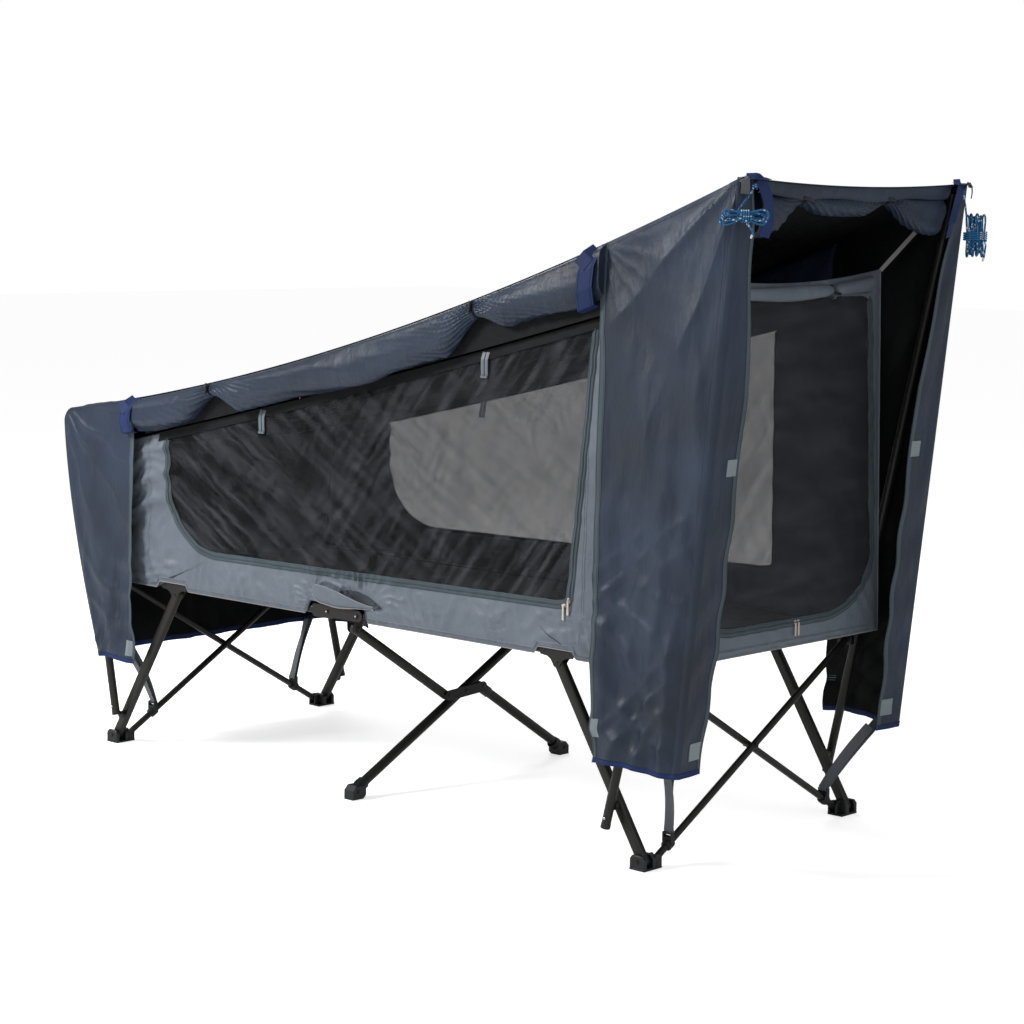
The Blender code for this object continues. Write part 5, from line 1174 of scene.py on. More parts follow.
def show_inner_shell():
    """The head wall, roof and foot wall of the inner tent in one, with the head door's zip, flap and netting."""
    b = Build()
    shares = (0, 0.04, 0.15, 0.35, 0.6, 0.85, 0.96, 1)
    flat = band_between(HEAD_DOOR.loop, HEAD_PANEL.loop, shares)
    b.sheet(on_head(flat), INNER, INNER_FACE_AND_SHADOW, CLOTH, flat, wrap=True)
    tape_round(b, HEAD_DOOR, on_head, 0.0007)
    x = np.linspace(INNER_HEAD[0], -INNER_FOOT[0], 110)
    y = np.linspace(0.405, -0.405, 56)
    gx, gy = np.meshgrid(x, y, indexing="ij")
    soft = 0.006 * folds(gx, gy, 0.16, 20, 31, 0.7, 1.2) + 0.003 * folds(gx, gy, 0.08, 80, 32, 0.7, 1.3)
    dip = lerp(0.014, HEAD_SAG, smooth((gx - 0.75) / 0.26)) * (1 - (gy / 0.405) ** 2)
    edge = smooth((0.405 - np.abs(gy)) / 0.05) * smooth((INNER_HEAD[0] - gx) / 0.06)
    gy = gy * (1 - 0.010 * smooth((gx - 0.88) / 0.06))
    b.sheet(np.stack([gx, gy, inner_roof_z(gx) - dip + soft * edge - 0.003 * edge], -1), ROOF, ROOF)
    t = np.linspace(0, 1, 40)
    gt, gy = np.meshgrid(t, np.linspace(0.405, -0.405, 50), indexing="ij")
    fx, fz = lerp(INNER_FOOT[0], WALL_FOOT_X, gt), lerp(INNER_FOOT[1], HEM_Z, gt)
    soft = 0.004 * folds(gy, fz, 0.13, 10, 33, 0.7, 1.2) * np.sin(np.pi * gt)
    b.sheet(np.stack([-fx - soft, gy, fz], -1), INNER, INNER_FACE_AND_SHADOW)
    across_head = np.linspace(-0.398, 0.398, 60)
    line = np.stack([np.full(60, INNER_HEAD[0] + 0.0012), across_head, head_top_z(across_head)], -1)
    tube(b, line, 0.0019, INNER, 8)
    y = np.linspace(-0.398, 0.398, 120)
    rows = []
    for at, up in ((0.020, 0.0002), (0.019, 0.0011), (0.001, 0.0011), (0.0, 0.0002)):
        rows.append(on_head(level_line(y, HEAD_HEM_Z + at), up))
    b.sheet(np.stack(rows), INNER, INNER_FACE_AND_SHADOW, 0.0006)
    tube(b, on_head(level_line(y, HEAD_HEM_Z + 0.0005), 0.0010), 0.0014, PIPING, 8)
    for at in (0.017, 0.006):
        STITCHES.along(b, on_head(level_line(y, HEAD_HEM_Z + at), 0.0013))
    ledge = ((0.974, 0.4885), (1.005, 0.4860), (1.0375, 0.4800))
    b.sheet(np.stack([np.stack([np.full(60, x), across_head, np.full(60, z)], -1) for x, z in ledge]), BED, BED)
    y = np.linspace(-0.342, 0.342, 160)
    at = np.linspace(0, 2 * math.pi, 28, endpoint=False)
    gy, ga = np.meshgrid(y, at, indexing="ij")
    ties = np.min([np.abs(gy - tie) for tie in NET_TIES], axis=0)
    full = lerp(0.62, 1.0, smooth(ties / 0.035)) * (1 + 0.10 * np.sin(gy * 19 + 1) + 0.07 * np.sin(3 * ga + gy * 14))
    lying = HEAD_ROLL_Z + head_top_z(gy) - head_top_z(0.19)
    flap = [HEAD_ROLL_X + 0.0135 + 0.0115 * full * np.sin(ga), gy, lying + 0.0165 * full * np.cos(ga)]
    skin(b, np.stack(flap, -1), INNER)
    for tie in NET_TIES:
        loop = np.array([
            (HEAD_ROLL_X + 0.0125 + 0.0125 * math.sin(a), tie, HEAD_ROLL_Z - 0.004 + 0.0175 * math.cos(a))
            for a in np.linspace(0, 2 * math.pi, 30)
        ])[::-1]
        strip(b, loop, 0.010, loop - np.array([HEAD_ROLL_X + 0.0125, tie, HEAD_ROLL_Z]), TAPE)
        toggle = (HEAD_ROLL_X + 0.0270, tie - 0.010, HEAD_ROLL_Z - 0.006)
        bar(b, toggle, (HEAD_ROLL_X + 0.0270, tie + 0.012, HEAD_ROLL_Z - 0.009), 0.0030, PLASTIC, 14, 0.0008)
    for y0 in (0.058, 0.070):
        at = float(head_wall_x(0.533)) + 0.0035
        block(b, (at, y0 - 0.0042, 0.5290), (at + 0.0034, y0 + 0.0042, 0.5380), NICKEL, 0.0010)
        block(b, (at + 0.0036, y0 - 0.0032, 0.4990), (at + 0.0050, y0 + 0.0032, 0.5320), NICKEL, 0.0012)
    made = b.piece("inner_tent_shell", "inner", "inner_shell", "inner_cloth")
    b = Build()
    flat = HEAD_DOOR.patch()
    b.sheet(on_head(flat, -0.0012, True), HEAD_NET_LIT, HEAD_NET_LIT, 0.0004, flat)
    made = b.piece("head_netting", "inner", "head_door_net", "netting")


def show_bed():
    b = Build()
    gx, gy = np.meshgrid(np.linspace(0.976, -0.976, 120), np.linspace(0.3765, -0.3765, 50), indexing="ij")
    sag = 0.012 * (1 - (gy / 0.3765) ** 2) * (1 - (gx / 0.976) ** 2)
    soft = 0.0025 * folds(gx, gy, 0.12, 90, 41, 0.8, 1.2)
    z = RAIL_Z + 0.007 - sag + soft * smooth((0.3765 - np.abs(gy)) / 0.03)
    b.sheet(np.stack([gx, gy, z], -1), BED, BED, 0.0016)
    made = b.piece("bed_cloth", "bed", "bed_deck", "bed_cloth")


def canopy_point(x, y, wrinkle=True):
    """The fly's roof."""
    ends = 4 * (x + 1.095) * (FLY_HEAD_X - x) / (FLY_HEAD_X + 1.095) ** 2
    dip = 0.030 * (1 - (y / FLY_Y) ** 2) * (0.5 + 0.5 * np.clip(ends, 0, 1))
    z = roof_edge_z(x) - dip
    if wrinkle:
        edge = smooth((FLY_Y - np.abs(y)) / 0.05)
        edge = edge * smooth((FLY_HEAD_X - x) / 0.10)
        soft = 0.006 * folds(x, y, 0.19, 82, 51, 0.8, 1.1) + 0.003 * folds(x, y, 0.07, 60, 52, 0.8, 1.4)
        z = z + edge * soft
        for way in (-1, 1):
            z = z + edge * 0.005 * spokes(x, y, FLY_HEAD_X, way * FLY_Y, 12, 0.35, 53, 0.05)
            z = z + edge * 0.005 * spokes(x, y, -FLY_FOOT_X, way * FLY_Y, 12, 0.30, 54, 0.05)
    return z


def show_canopy():
    """The fly's roof, which turns down at the foot end and becomes the foot wall."""
    b = Build()
    y = np.linspace(FLY_Y, -FLY_Y, 90)
    end = -FLY_FOOT_X + FLY_TURN
    x = np.linspace(FLY_HEAD_X, end, 200)
    gx, gy = np.meshgrid(x, y, indexing="ij")
    roof = np.stack([gx, gy, canopy_point(gx, gy)], -1)
    turn_z = roof_edge_z(end) - FLY_TURN
    turn = []
    dip = 0.015 * (1 - (y / FLY_Y) ** 2)
    for k, a in enumerate(np.radians(np.linspace(82, 8, 10))):
        z = turn_z + FLY_TURN * math.sin(a) - dip * (1 - k / 9)
        turn.append(np.stack([np.full_like(y, end - FLY_TURN * math.cos(a)), y, z], -1))
    z = np.linspace(turn_z, FLY_HEM_Z, 110)
    gz, gy = np.meshgrid(z, y, indexing="ij")
    down = (turn_z - gz) / (turn_z - FLY_HEM_Z)
    soft = folds(gy, gz, 0.16, 8, 57, 0.8, 1.2) * 0.014 * smooth(down * 3) + 0.004 * folds(gy, gz, 0.07, 20, 58)
    soft = soft * smooth((FLY_Y - np.abs(gy)) / 0.04)
    hollow_in = 0.006 * (1 - (gy / FLY_Y) ** 2)
    wall = np.stack([foot_wall_x(gz) + hollow_in - soft * 0.8, gy, gz], -1)
    front = np.concatenate([roof, np.array(turn), wall])
    b.sheet(front, FLY, FLY_INSIDE_AND_SHADE)
    for inset_y in (0.0035, 0.0110):
        for way in (-1, 1):
            yy = np.full(200, way * (FLY_Y - inset_y))
            STITCHES.along(b, np.stack([x, yy, canopy_point(x, yy) + 0.0003], -1), THREAD, *LONG_STITCH)
    hem = wall[-3:].copy()
    hem[:, :, 0] -= 0.0011
    hem[-1, :, 2] -= 0.0006
    b.sheet(hem, NAVY, NAVY, 0.0030)
    front_band = roof[:4].copy()
    front_band[..., 2] += 0.0009
    b.sheet(front_band, FLY, FLY_INSIDE_AND_SHADE, 0.0022)
    made = b.piece("fly_roof_and_foot_wall", "fly", "fly_canopy", "fly_cloth")


WRAP_END = 1.3


def head_panel_point(s, t):
    """The head corner panel: s runs to 1 over the side and on to WRAP_END round the corner, t runs down."""
    corner = lerp(FLY_HEAD_X, 1.097, t)
    side_s = np.clip(s, 0, 1)
    wrap = np.clip((s - 1) / 0.3, 0, 1)
    x = lerp(0.852, corner - 0.014, side_s)
    z_top = roof_edge_z(np.where(s > 1, FLY_HEAD_X, x)) - PANEL_DROP
    low = 0.240 + 0.004 * np.sin(side_s * 5.0)
    z = lerp(z_top, low, t)
    wide = np.minimum(0.050 + 0.180 * t, 0.115) - 0.015 * smooth((t - 0.74) / 0.26)
    bend = np.minimum(wrap * wide / 0.014, math.pi / 2)
    run = np.maximum(wrap * wide - 0.014 * math.pi / 2, 0)
    x = x + 0.014 * np.sin(bend) - 0.010 * wrap * t
    y = -FLY_Y - PANEL_LIFT + 0.014 * (1 - np.cos(bend)) + run
    fall = smooth(t / 0.10)
    broad = folds(x, z, 0.170, 8, 61, 0.20, 1.0) * (0.35 + 0.65 * t)
    slim = folds(x, z, 0.078, -6, 62, 0.35, 1.3) * (0.15 + 0.85 * t ** 1.5)
    pull = spokes(x, z, 1.262, 1.60, 8, 0.60, 63, 0.10, 0.03)
    hang = spokes(x, z, 0.852, 1.42, 9, 0.16, 64, 0.04, 0.03)
    drape = 0.0150 * broad + 0.0060 * slim
    away = smooth((1.0 - s) / 0.16)
    tension = (0.0120 * pull + 0.0025 * hang) * smooth(t / 0.03) * smooth((1.02 - s) / 0.05)
    push = drape * fall * away + tension
    loose = smooth((t - 0.40) / 0.35) * smooth((1 - s) / 0.08)
    crinkle = (0.0050 * folds(x, z, 0.120, 52, 65, 0.6, 2.2) + 0.0036 * folds(x, z, 0.085, -48, 67, 0.6, 2.2)) * loose
    side_y = y - push - crinkle
    wavy = 0.006 * (folds(y * 2, z, 0.20, 80, 66, 0.8, 1.1) - 0.5) * np.clip(run / 0.03, 0, 1)
    y = np.where(s > 1, y, side_y)
    return np.stack([x + np.where(s > 1, wavy, 0), y, z], -1)


def foot_panel_point(s, t):
    """The foot corner panel: s runs from the foot wall to the side door, t runs down."""
    x_top = lerp(FLY_TURN * 0.62 - FLY_FOOT_X, -0.828, s)
    sunk = FLY_TURN - np.sqrt(FLY_TURN**2 - np.clip(FLY_TURN - FLY_FOOT_X - x_top, 0, FLY_TURN) ** 2)
    z = lerp(roof_edge_z(x_top) - PANEL_DROP - sunk, 0.247 + 0.003 * np.sin(4 * s), t)
    round_z = np.clip((z - roof_edge_z(-1.11) + FLY_TURN) / FLY_TURN, 0, 0.95)
    x = lerp(foot_wall_x(z) + FLY_TURN * (1 - np.sqrt(1 - round_z**2)), -0.828, s)
    fall = smooth(t / 0.12)
    broad = folds(x, z, 0.130, 14, 71, 0.25, 1.0)
    slim = folds(x, z, 0.062, -12, 72, 0.4, 1.4)
    pull = spokes(x, z, -1.16, 0.95, 9, 0.30, 73, 0.05, 0.04)
    push = (0.0120 * broad * (0.3 + 0.7 * t) + 0.0045 * slim * t) * fall * smooth(s / 0.10)
    push = push + 0.0060 * pull * smooth(t / 0.04) * smooth(s / 0.06)
    push = push + 0.0040 * folds(x, z, 0.095, 48, 74, 0.6, 2.0) * smooth((t - 0.35) / 0.3) * smooth(s / 0.1)
    return np.stack([x, -FLY_Y - PANEL_LIFT - push, z], -1)


def panel_grid(point, s, t):
    """A panel's places for each s in t's rows."""
    return point(*np.meshgrid(s, t))


def raised(front, lift):
    """A grid moved outwards along its own normals."""
    along, sideways = np.gradient(front, axis=0), np.gradient(front, axis=1)
    return front + unit(np.cross(along, sideways)) * lift


def on_surface(point, s, t, lift):
    """Places on a panel, lifted along its outward normal. s and t are arrays of one length."""
    h = 0.002
    down = point(s, np.clip(t + h, 0, 1)) - point(s, np.clip(t - h, 0, 1))
    sideways = point(s + h, t) - point(s - h, t)
    return point(s, t) + unit(np.cross(down, sideways)) * lift


def show_fly_panel(side, end):
    """A corner panel of the fly with its hem, zip tapes, seams and loop patches."""
    if end == "head":
        point, tall, free, inward = head_panel_point, 1.25, 0.0, 1
        columns = np.concatenate([np.linspace(0, 1, 120), np.linspace(1, WRAP_END, 46)[1:]])
        patches = [(0.066, 0.930, 0.092, 0.036), (1.215, 0.958, 0.125, 0.030), (1.235, 0.475, 0.090, 0.028)]
    else:
        point, tall, free, inward = foot_panel_point, 0.72, 1.0, -1
        columns = np.linspace(0, 1, 96)
        patches = [(0.89, 0.945, 0.13, 0.058)]
    b = Build()
    rows = np.concatenate([np.linspace(0, 0.06, 12)[:-1], np.linspace(0.06, 1, 190)])
    b.sheet(panel_grid(point, columns, rows), FLY, FLY_INSIDE_AND_SHADE)
    hem = panel_grid(point, columns, np.linspace(1 - 0.0125 / tall, 1, 4))
    b.sheet(raised(hem, 0.0010), NAVY, NAVY, 0.0030)
    t = np.linspace(0.0, 1.0, 360)
    for share in (1 - 0.003 / tall, 1 - 0.0105 / tall):
        STITCHES.along(b, on_surface(point, columns, np.full_like(columns, share), 0.0014), NAVY)

    def down_panel(s, lift, *row):
        STITCHES.along(b, on_surface(point, np.full_like(t, s), t, lift), *row)

    tape_share = 0.016 / 0.35
    tape_rows = np.linspace(0.004, 0.996, 220)
    edges = [free + inward * k for k in (0.0, tape_share * 0.5, tape_share)]
    b.sheet(raised(panel_grid(point, sorted(edges), tape_rows), 0.0009), TAPE, TAPE, 0.0016)
    down_panel(free + inward * 0.002, 0.0004, TAPE, *PANEL_COIL)
    down_panel(free + inward * tape_share * 0.8, 0.0012)
    if end == "head":
        edges = (WRAP_END - 0.036, WRAP_END - 0.018, WRAP_END)
        b.sheet(raised(panel_grid(point, edges, tape_rows), 0.0009), TAPE, TAPE, 0.0016)
        down_panel(1.299, 0.0004, TAPE, *PANEL_COIL)
        for at in (0.965, 0.985):
            down_panel(at, 0.0003, THREAD, *LONG_STITCH)
    top = on_surface(point, columns, np.full_like(columns, 0.008), 0.0004)
    STITCHES.along(b, top, THREAD, *LONG_STITCH)
    for s0, t0, ds, dt in patches:
        s, t = np.linspace(s0 - ds / 2, s0 + ds / 2, 10), np.linspace(t0 - dt / 2, t0 + dt / 2, 8)
        b.sheet(raised(panel_grid(point, s, t), 0.0014), VELCRO, VELCRO, 0.0022)
    made = b.piece(f"{side}_{end}_fly_panel", BODIES[side], f"fly_{side}_{end}_panel", "fly_cloth", side)


ROLL_TIES, HEAD_ROLL_TIES = (-0.494, 0.462), (-0.190, 0.135)
BAND_STEPS = (-0.0035, -0.0028, 0.0028, 0.0035)


def roll_rings(x, ties, half_y, half_z, centre_y, top, seed, sides=72, pinch=0.42, width=0.110):
    """Rings of a rolled door under an edge: drawn in at the ties, with folds that run out from them."""
    theta = np.arange(sides) * 2 * math.pi / sides
    gx, gt = np.meshgrid(x, theta, indexing="ij")
    nearest = np.min([np.abs(gx - tie) for tie in ties], axis=0)
    slack = lerp(pinch, 1.0, smooth(nearest / width))
    sag = 1 + 0.10 * np.sin(gx * 7.0 + seed) + 0.05 * np.sin(gx * 17.0 + seed)
    radial = np.zeros_like(gx)
    for k, tie in enumerate(ties):
        off = np.abs(gx - tie)
        wave = np.sin(9 * gt + 5 * np.sin(gt + k) + 9.0 * (gx - tie) / width)
        radial = radial + 0.22 * (1 - np.abs(wave)) ** 1.2 * np.exp(-off / (width * 1.1)) * smooth(off / 0.008)
    twist = gt + gx * 3.0
    long = 0.060 * np.sin(3 * twist + seed) + 0.045 * np.sin(5 * twist - 4.0 * gx + seed * 2)
    long = long + 0.035 * (1 - np.abs(np.sin(4 * twist + 2.0 * np.sin(5 * gx)))) ** 2
    creases = 0.05 * (folds(gx, gt * 0.05, 0.13, 65, seed + 80, 0.9, 1.5) - 0.4)
    grow = 1 + radial + (long + creases) * smooth(nearest / width)
    down = -np.cos(gt)
    y = centre_y + np.sin(gt) * half_y * lerp(0.6, 1.0, slack) * grow * (0.78 + 0.22 * (1 - down) / 2 + 0.1)
    half = np.reshape(half_z, (-1, 1)) * slack * sag
    z = top[:, None] - half + np.cos(gt) * half * np.where(np.cos(gt) > 0, 1.0, grow)
    return np.stack([gx, y, z], -1)


def show_side_roll(side):
    """A side door of the fly, rolled up, with a dark sheet behind it that paints the shade in the gap under the roll,
    and its two ties.
    """
    b = Build()
    x = np.linspace(-0.812, 0.862, 440)
    top = roof_edge_z(x) - 0.0035
    half = lerp(0.0400, 0.0560, (x + 0.812) / 1.674)
    rings = roll_rings(x, ROLL_TIES, 0.0300, half, -0.4345, top, 1)
    skin(b, rings[:, ::-1], FLY)
    # Painted shade: a dark sheet hung from the roof edge down to the inner roof, in the fly's inner finish.
    behind = np.linspace(-0.80, 0.895, 200)
    upper = roof_edge_z(behind) - 0.0012
    lower = np.minimum(inner_roof_z(behind) + 0.0045, roof_edge_z(behind) - 0.045)
    hang = []
    for share in np.linspace(0, 1, 12):
        row = lerp(upper, lower, share)
        y = lerp(-0.4358, -0.4205, smooth(share / 0.3)) - 0.0020 * share * folds(behind, row, 0.07, 10, 85)
        hang.append(np.stack([behind, y, row], -1))
    b.sheet(np.stack(hang), FLY_INSIDE_AND_SHADE, FLY_INSIDE_AND_SHADE)
    for tie in ROLL_TIES:
        k = int(np.argmin(np.abs(x - tie)))
        centre = rings[k].mean(axis=0)
        loop = centre + (rings[k] - centre) * 1.06
        band = np.stack([loop + np.array([dx, 0, 0]) for dx in BAND_STEPS])
        b.sheet(band, ROOF, ROOF, 0.0012, wrap=True)
        lowest = loop[np.argmin(loop[:, 1])]
        bar(b, lowest + (0.002, -0.0035, 0.016), lowest + (-0.003, -0.0035, -0.012), 0.0038, PLASTIC, 16, 0.001)
    made = b.piece(f"{side}_rolled_door", BODIES[side], f"{side}_door_roll", "fly_cloth", side)


def show_head_roll():
    """The head door of the fly, rolled up, with the short valance over it."""
    b = Build()
    y = np.linspace(-0.352, 0.352, 240)
    top = canopy_point(np.full_like(y, 1.203), y, False) - 0.004
    half = lerp(0.0200, 0.0500, smooth((np.abs(y) - 0.12) / 0.22))
    rings = roll_rings(y, HEAD_ROLL_TIES, 0.0290, half, 0.0, top, 2, 60, 0.45, 0.09)
    turned = np.stack([1.203 - rings[..., 1], rings[..., 0], rings[..., 2]], -1)
    skin(b, turned, FLY)
    for tie in HEAD_ROLL_TIES:
        k = int(np.argmin(np.abs(y - tie)))
        centre = turned[k].mean(axis=0)
        loop = centre + (turned[k] - centre) * 1.10
        band = np.stack([loop + np.array([0, dy, 0]) for dy in BAND_STEPS])
        b.sheet(band[:, ::-1], ROOF, ROOF, 0.0012, wrap=True)
        out = loop[np.argmax(loop[:, 0])]
        bar(b, out + (0.0035, -0.012, 0.004), out + (0.0035, 0.014, -0.002), 0.0036, PLASTIC, 16, 0.001)
    y = np.linspace(0.366, -0.366, 90)
    valance = []
    for share in np.linspace(0, 1, 8):
        drop = 0.0300 * share * (1 + 0.10 * np.sin(23 * y))
        x = FLY_HEAD_X - 0.0030 - 0.0110 * share**2 + 0.0006 * np.sin(31 * y)
        valance.append(np.stack([x, y, canopy_point(np.full_like(y, FLY_HEAD_X), y, False) - 0.0012 - drop], -1))
    b.sheet(np.stack(valance)[:, ::-1], FLY, FLY_INSIDE_AND_SHADE)
    made = b.piece("head_rolled_door", "fly", "head_door_roll", "fly_cloth")


def show_strap(side, end):
    """A doubled webbing strap: one layer from the fly's hem to the clip, and its free end going back up."""
    middle, top = CLIPS[side, end]
    low = np.array([middle[0], middle[1], top - 0.002])
    high = np.array([1.045, -0.412, 0.246]) if end == "head" else np.array([-0.986, -0.355, 0.268])
    b = Build()
    share = np.linspace(0, 1, 60)[:, None]
    slack = np.array([0, 0.0075, 0]) * np.sin(math.pi * share)
    line = high + (low - high) * share + slack
    loop = [low + (0, 0.000, -0.001), low + (0, 0.0035, -0.0045), low + (0, 0.0065, -0.002), low + (0, 0.0065, 0.003)]
    turn = resample(np.vstack([line[-4:], loop]), 24)
    turn_face = np.array([0, -1.0, 0]) + np.linspace(0, 1, 60)[:, None] * np.array([ENDS[end] * 0.25, 0, 0])
    strip(b, line, STRAP_W + 0.0005, turn_face, WEBBING, STRAP_THICK)
    strip(b, turn[2:], STRAP_W, (0, -1, 0.25), WEBBING, STRAP_THICK)
    sway = np.sin(math.pi * share * 0.9)
    back = low + (0, 0.0060, 0) + (high + (0, 0.012, 0) - low) * share * (0.93 if end == "head" else 0.99)
    back = back + np.array([-ENDS[end] * 0.006, 0.004, 0]) * sway
    face = np.array([0, -1.0, 0]) + np.array([-ENDS[end] * 0.35, 0, 0]) * sway
    strip(b, back, STRAP_W, face, WEBBING, STRAP_THICK)
    for way in (-1, 1):
        edge = line + np.array([way * 0.0098, -0.0007, 0])
        STITCHES.along(b, edge[:16], THREAD, *LONG_STITCH)
    b.piece(f"{side}_{end}_webbing", BODIES[side], f"{side}_{end}_strap", "webbing", side)


def show_guard():
    """The padded tongue of cloth over the hinge, which stands off the wall like a pocket."""
    b = Build()
    u = np.linspace(0, 1, 90)
    v = np.linspace(-1, 1, 26)
    gu, gv = np.meshgrid(u, v, indexing="ij")
    x = lerp(-0.137, 0.090, gu)
    wide = 0.0225 * np.minimum(1, np.sqrt(np.maximum(0, 1 - ((0.16 - gu) / 0.16).clip(0, 1) ** 2)))
    wide = wide * (1 - 0.85 * smooth((gu - 0.35) / 0.65)) + 0.0008
    middle = 0.522 - 0.020 * gu
    z = middle + gv * wide
    stand = 0.017 * np.sin(np.pi * np.clip(gu, 0, 1)) ** 0.8 * (0.35 + 0.65 * (0.5 + 0.5 * gv))
    y = -WALL_Y - 0.0052 - stand - 0.0022 * (1 - gv ** 2) + 0.0008 * folds(x, z, 0.03, 70, 91)
    front = np.stack([x, y, z], -1)
    b.sheet(front, INNER, INNER, 0.0022)
    rim = np.concatenate([front[:, 0], front[-1, 1:], front[::-1, -1], front[0, ::-1][1:]])
    tube(b, resample(rim, 260), 0.0013, PIPING, 8)
    STITCHES.along(b, resample(front[4:-4, 3] + np.array([0, -0.0004, 0]), 120))
    b.piece("hinge_guard", "near_side", "hinge_guard_flap", "inner_cloth")


def show_slider(name, node, body, way):
    """A two-sided zip slider with a bridge and a ribbed pull."""
    way = unit((way[0], way[1]))
    corner = np.array([0.741, 0.586])
    x, z = corner + way * 0.013
    y = -0.4092
    b = Build()
    along, aside = np.array([way[0], 0, way[1]]), np.array([-way[1], 0, way[0]])
    shape = [(-0.0042, -0.0062), (0.0042, -0.0062), (0.0046, -0.0020), (0.0034, 0.0050), (0.0018, 0.0066),
             (-0.0018, 0.0066), (-0.0034, 0.0050), (-0.0046, -0.0020)]
    outward = np.cross(aside, along)
    flip = -1.0 if outward[1] > 0 else 1.0
    for low, high in ((-0.0002, 0.0014), (0.0026, 0.0042)):
        plate(b, [(flip * p, q) for p, q in shape], (x, y, z), aside * flip, along, low, high, NICKEL, 0.0005)
    bar(b, np.array([x, y - 0.0006, z]), np.array([x, y - 0.0036, z]), 0.0016, NICKEL, 12)
    bridge = [np.array([x, y - 0.0040, z]) + along * a + np.array([0, -h, 0]) for a, h in
              ((-0.0045, 0), (-0.0040, 0.0020), (-0.0015, 0.0028), (0.0015, 0.0028), (0.0040, 0.0020), (0.0045, 0))]
    tube(b, resample(bridge, 20), 0.0009, NICKEL, 10)
    top = z - 0.001
    pull = [(-0.0030, -0.0335), (0.0030, -0.0335), (0.0034, -0.0310), (0.0028, -0.010), (0.0022, -0.0015),
            (0.0012, 0.0005), (-0.0012, 0.0005), (-0.0022, -0.0015), (-0.0028, -0.010), (-0.0034, -0.0310)]
    plate(b, pull, (x, y - 0.0052, top), *XZ, 0.0, 0.0014, NICKEL, 0.0004)
    for k in range(5):
        at = top - 0.014 - k * 0.0032
        block(b, (x - 0.0022, y - 0.0074, at - 0.0006), (x + 0.0022, y - 0.0064, at + 0.0006), NICKEL, 0.0003)
    ring = []
    for a in np.linspace(0, 2 * math.pi, 25):
        ring.append((x + 0.0030 * math.cos(a), y - 0.0058, top - 0.0030 + 0.0040 * math.sin(a)))
    tube(b, ring, 0.0006, NICKEL, 8, False)
    b.piece(name, body, node, "nickel")


def band_loop(build, line, width, lean, finish):
    """A band hung along a line, as wide as asked along the roof's slope."""
    line = np.asarray(line, float)
    shares = np.linspace(-0.5, 0.5, 9)
    way = unit(np.array([1.0, 0, lean]))
    cup = 0.0016 * np.cos(np.pi * shares)
    front = np.stack([line + way * width * q + np.array([0, -c, 0]) for q, c in zip(shares, cup)], axis=1)
    build.sheet(front, finish, finish, 0.0012)
    return front


def show_bands(side):
    """Navy bands that hold the ends of the rolled side door, and the head corner's bands and tab."""
    b = Build()
    for x0, drop, width in ((0.829, 0.136, 0.052), (-0.826, 0.092, 0.046)):
        top = roof_edge_z(x0)
        lean = 0.26 + 0.11 * x0
        path = [
            (x0 + 0.010, -0.4385, top + 0.002), (x0 + 0.007, -0.4520, top - 0.010), (x0, -0.4700, top - drop * 0.35),
            (x0 - 0.004, -0.4715, top - drop * 0.70), (x0 - 0.006, -0.4600, top - drop),
            (x0 - 0.006, -0.4400, top - drop - 0.004),
        ]
        front = band_loop(b, resample(path, 46), width, lean, NAVY)
        for column in (1, 7):
            edge = front[2:-2, column] + np.array([0, -0.0006, 0])
            STITCHES.along(b, resample(edge, 80), NAVY, *LONG_STITCH)
        flap = [(x0 + 0.012, -0.4420, top - 0.001), (x0 + 0.002, -0.4640, top - 0.016)]
        flap.append((x0 - 0.016, -0.4740, top - drop * 0.30))
        strip(b, resample(flap, 20), 0.034, (0.25, -1, 0.35), NAVY)
    corner = np.array([1.236, -0.430, 1.566])
    sweep = ((-0.012, 0.030, 0.000), (0.014, 0.038, 0.001), (0.020, 0.050, -0.010),
             (0.022, 0.068, -0.045), (0.016, 0.078, -0.090), (0.006, 0.074, -0.122))
    free = ((0.002, 0.010, 0.003), (0.012, 0.026, 0.0045), (0.018, 0.048, 0.0040), (0.018, 0.070, 0.0045))
    tab = ((0.004, -0.004, 0.003), (0.015, -0.006, 0.001), (0.016, -0.006, -0.016), (0.014, -0.006, -0.030))
    for steps, count, width, facing, finish in (
        (sweep, 50, 0.030, (1, -0.15, 0.1), NAVY),
        (free, 24, 0.018, (0.25, 0, 1), NAVY),
        (tab, 24, 0.020, (1, -0.5, 0.2), WEBBING),
    ):
        strip(b, resample([corner + step for step in steps], count), width, facing, finish)
    b.piece(f"{side}_roof_bands", BODIES[side], side=side)
    b = Build()
    line = resample([(1.021, -0.3980, 1.360), (1.090, -0.3945, 1.424), (1.176, -0.3915, 1.505)], 60)
    strip(b, line, 0.010, (0.9, 1, 0), PIPING)
    hook = np.array([1.174, -0.3915, 1.503])
    bar(b, hook + (-0.010, 0, -0.012), hook + (0.012, 0, 0.012), 0.006, PLASTIC, 16, 0.0015)
    b.piece(f"{side}_corner_guy_strap", BODIES[side], side=side)


HANK_TURNS, HANK_STEPS, LEAD_STEPS = 9, 48, 24


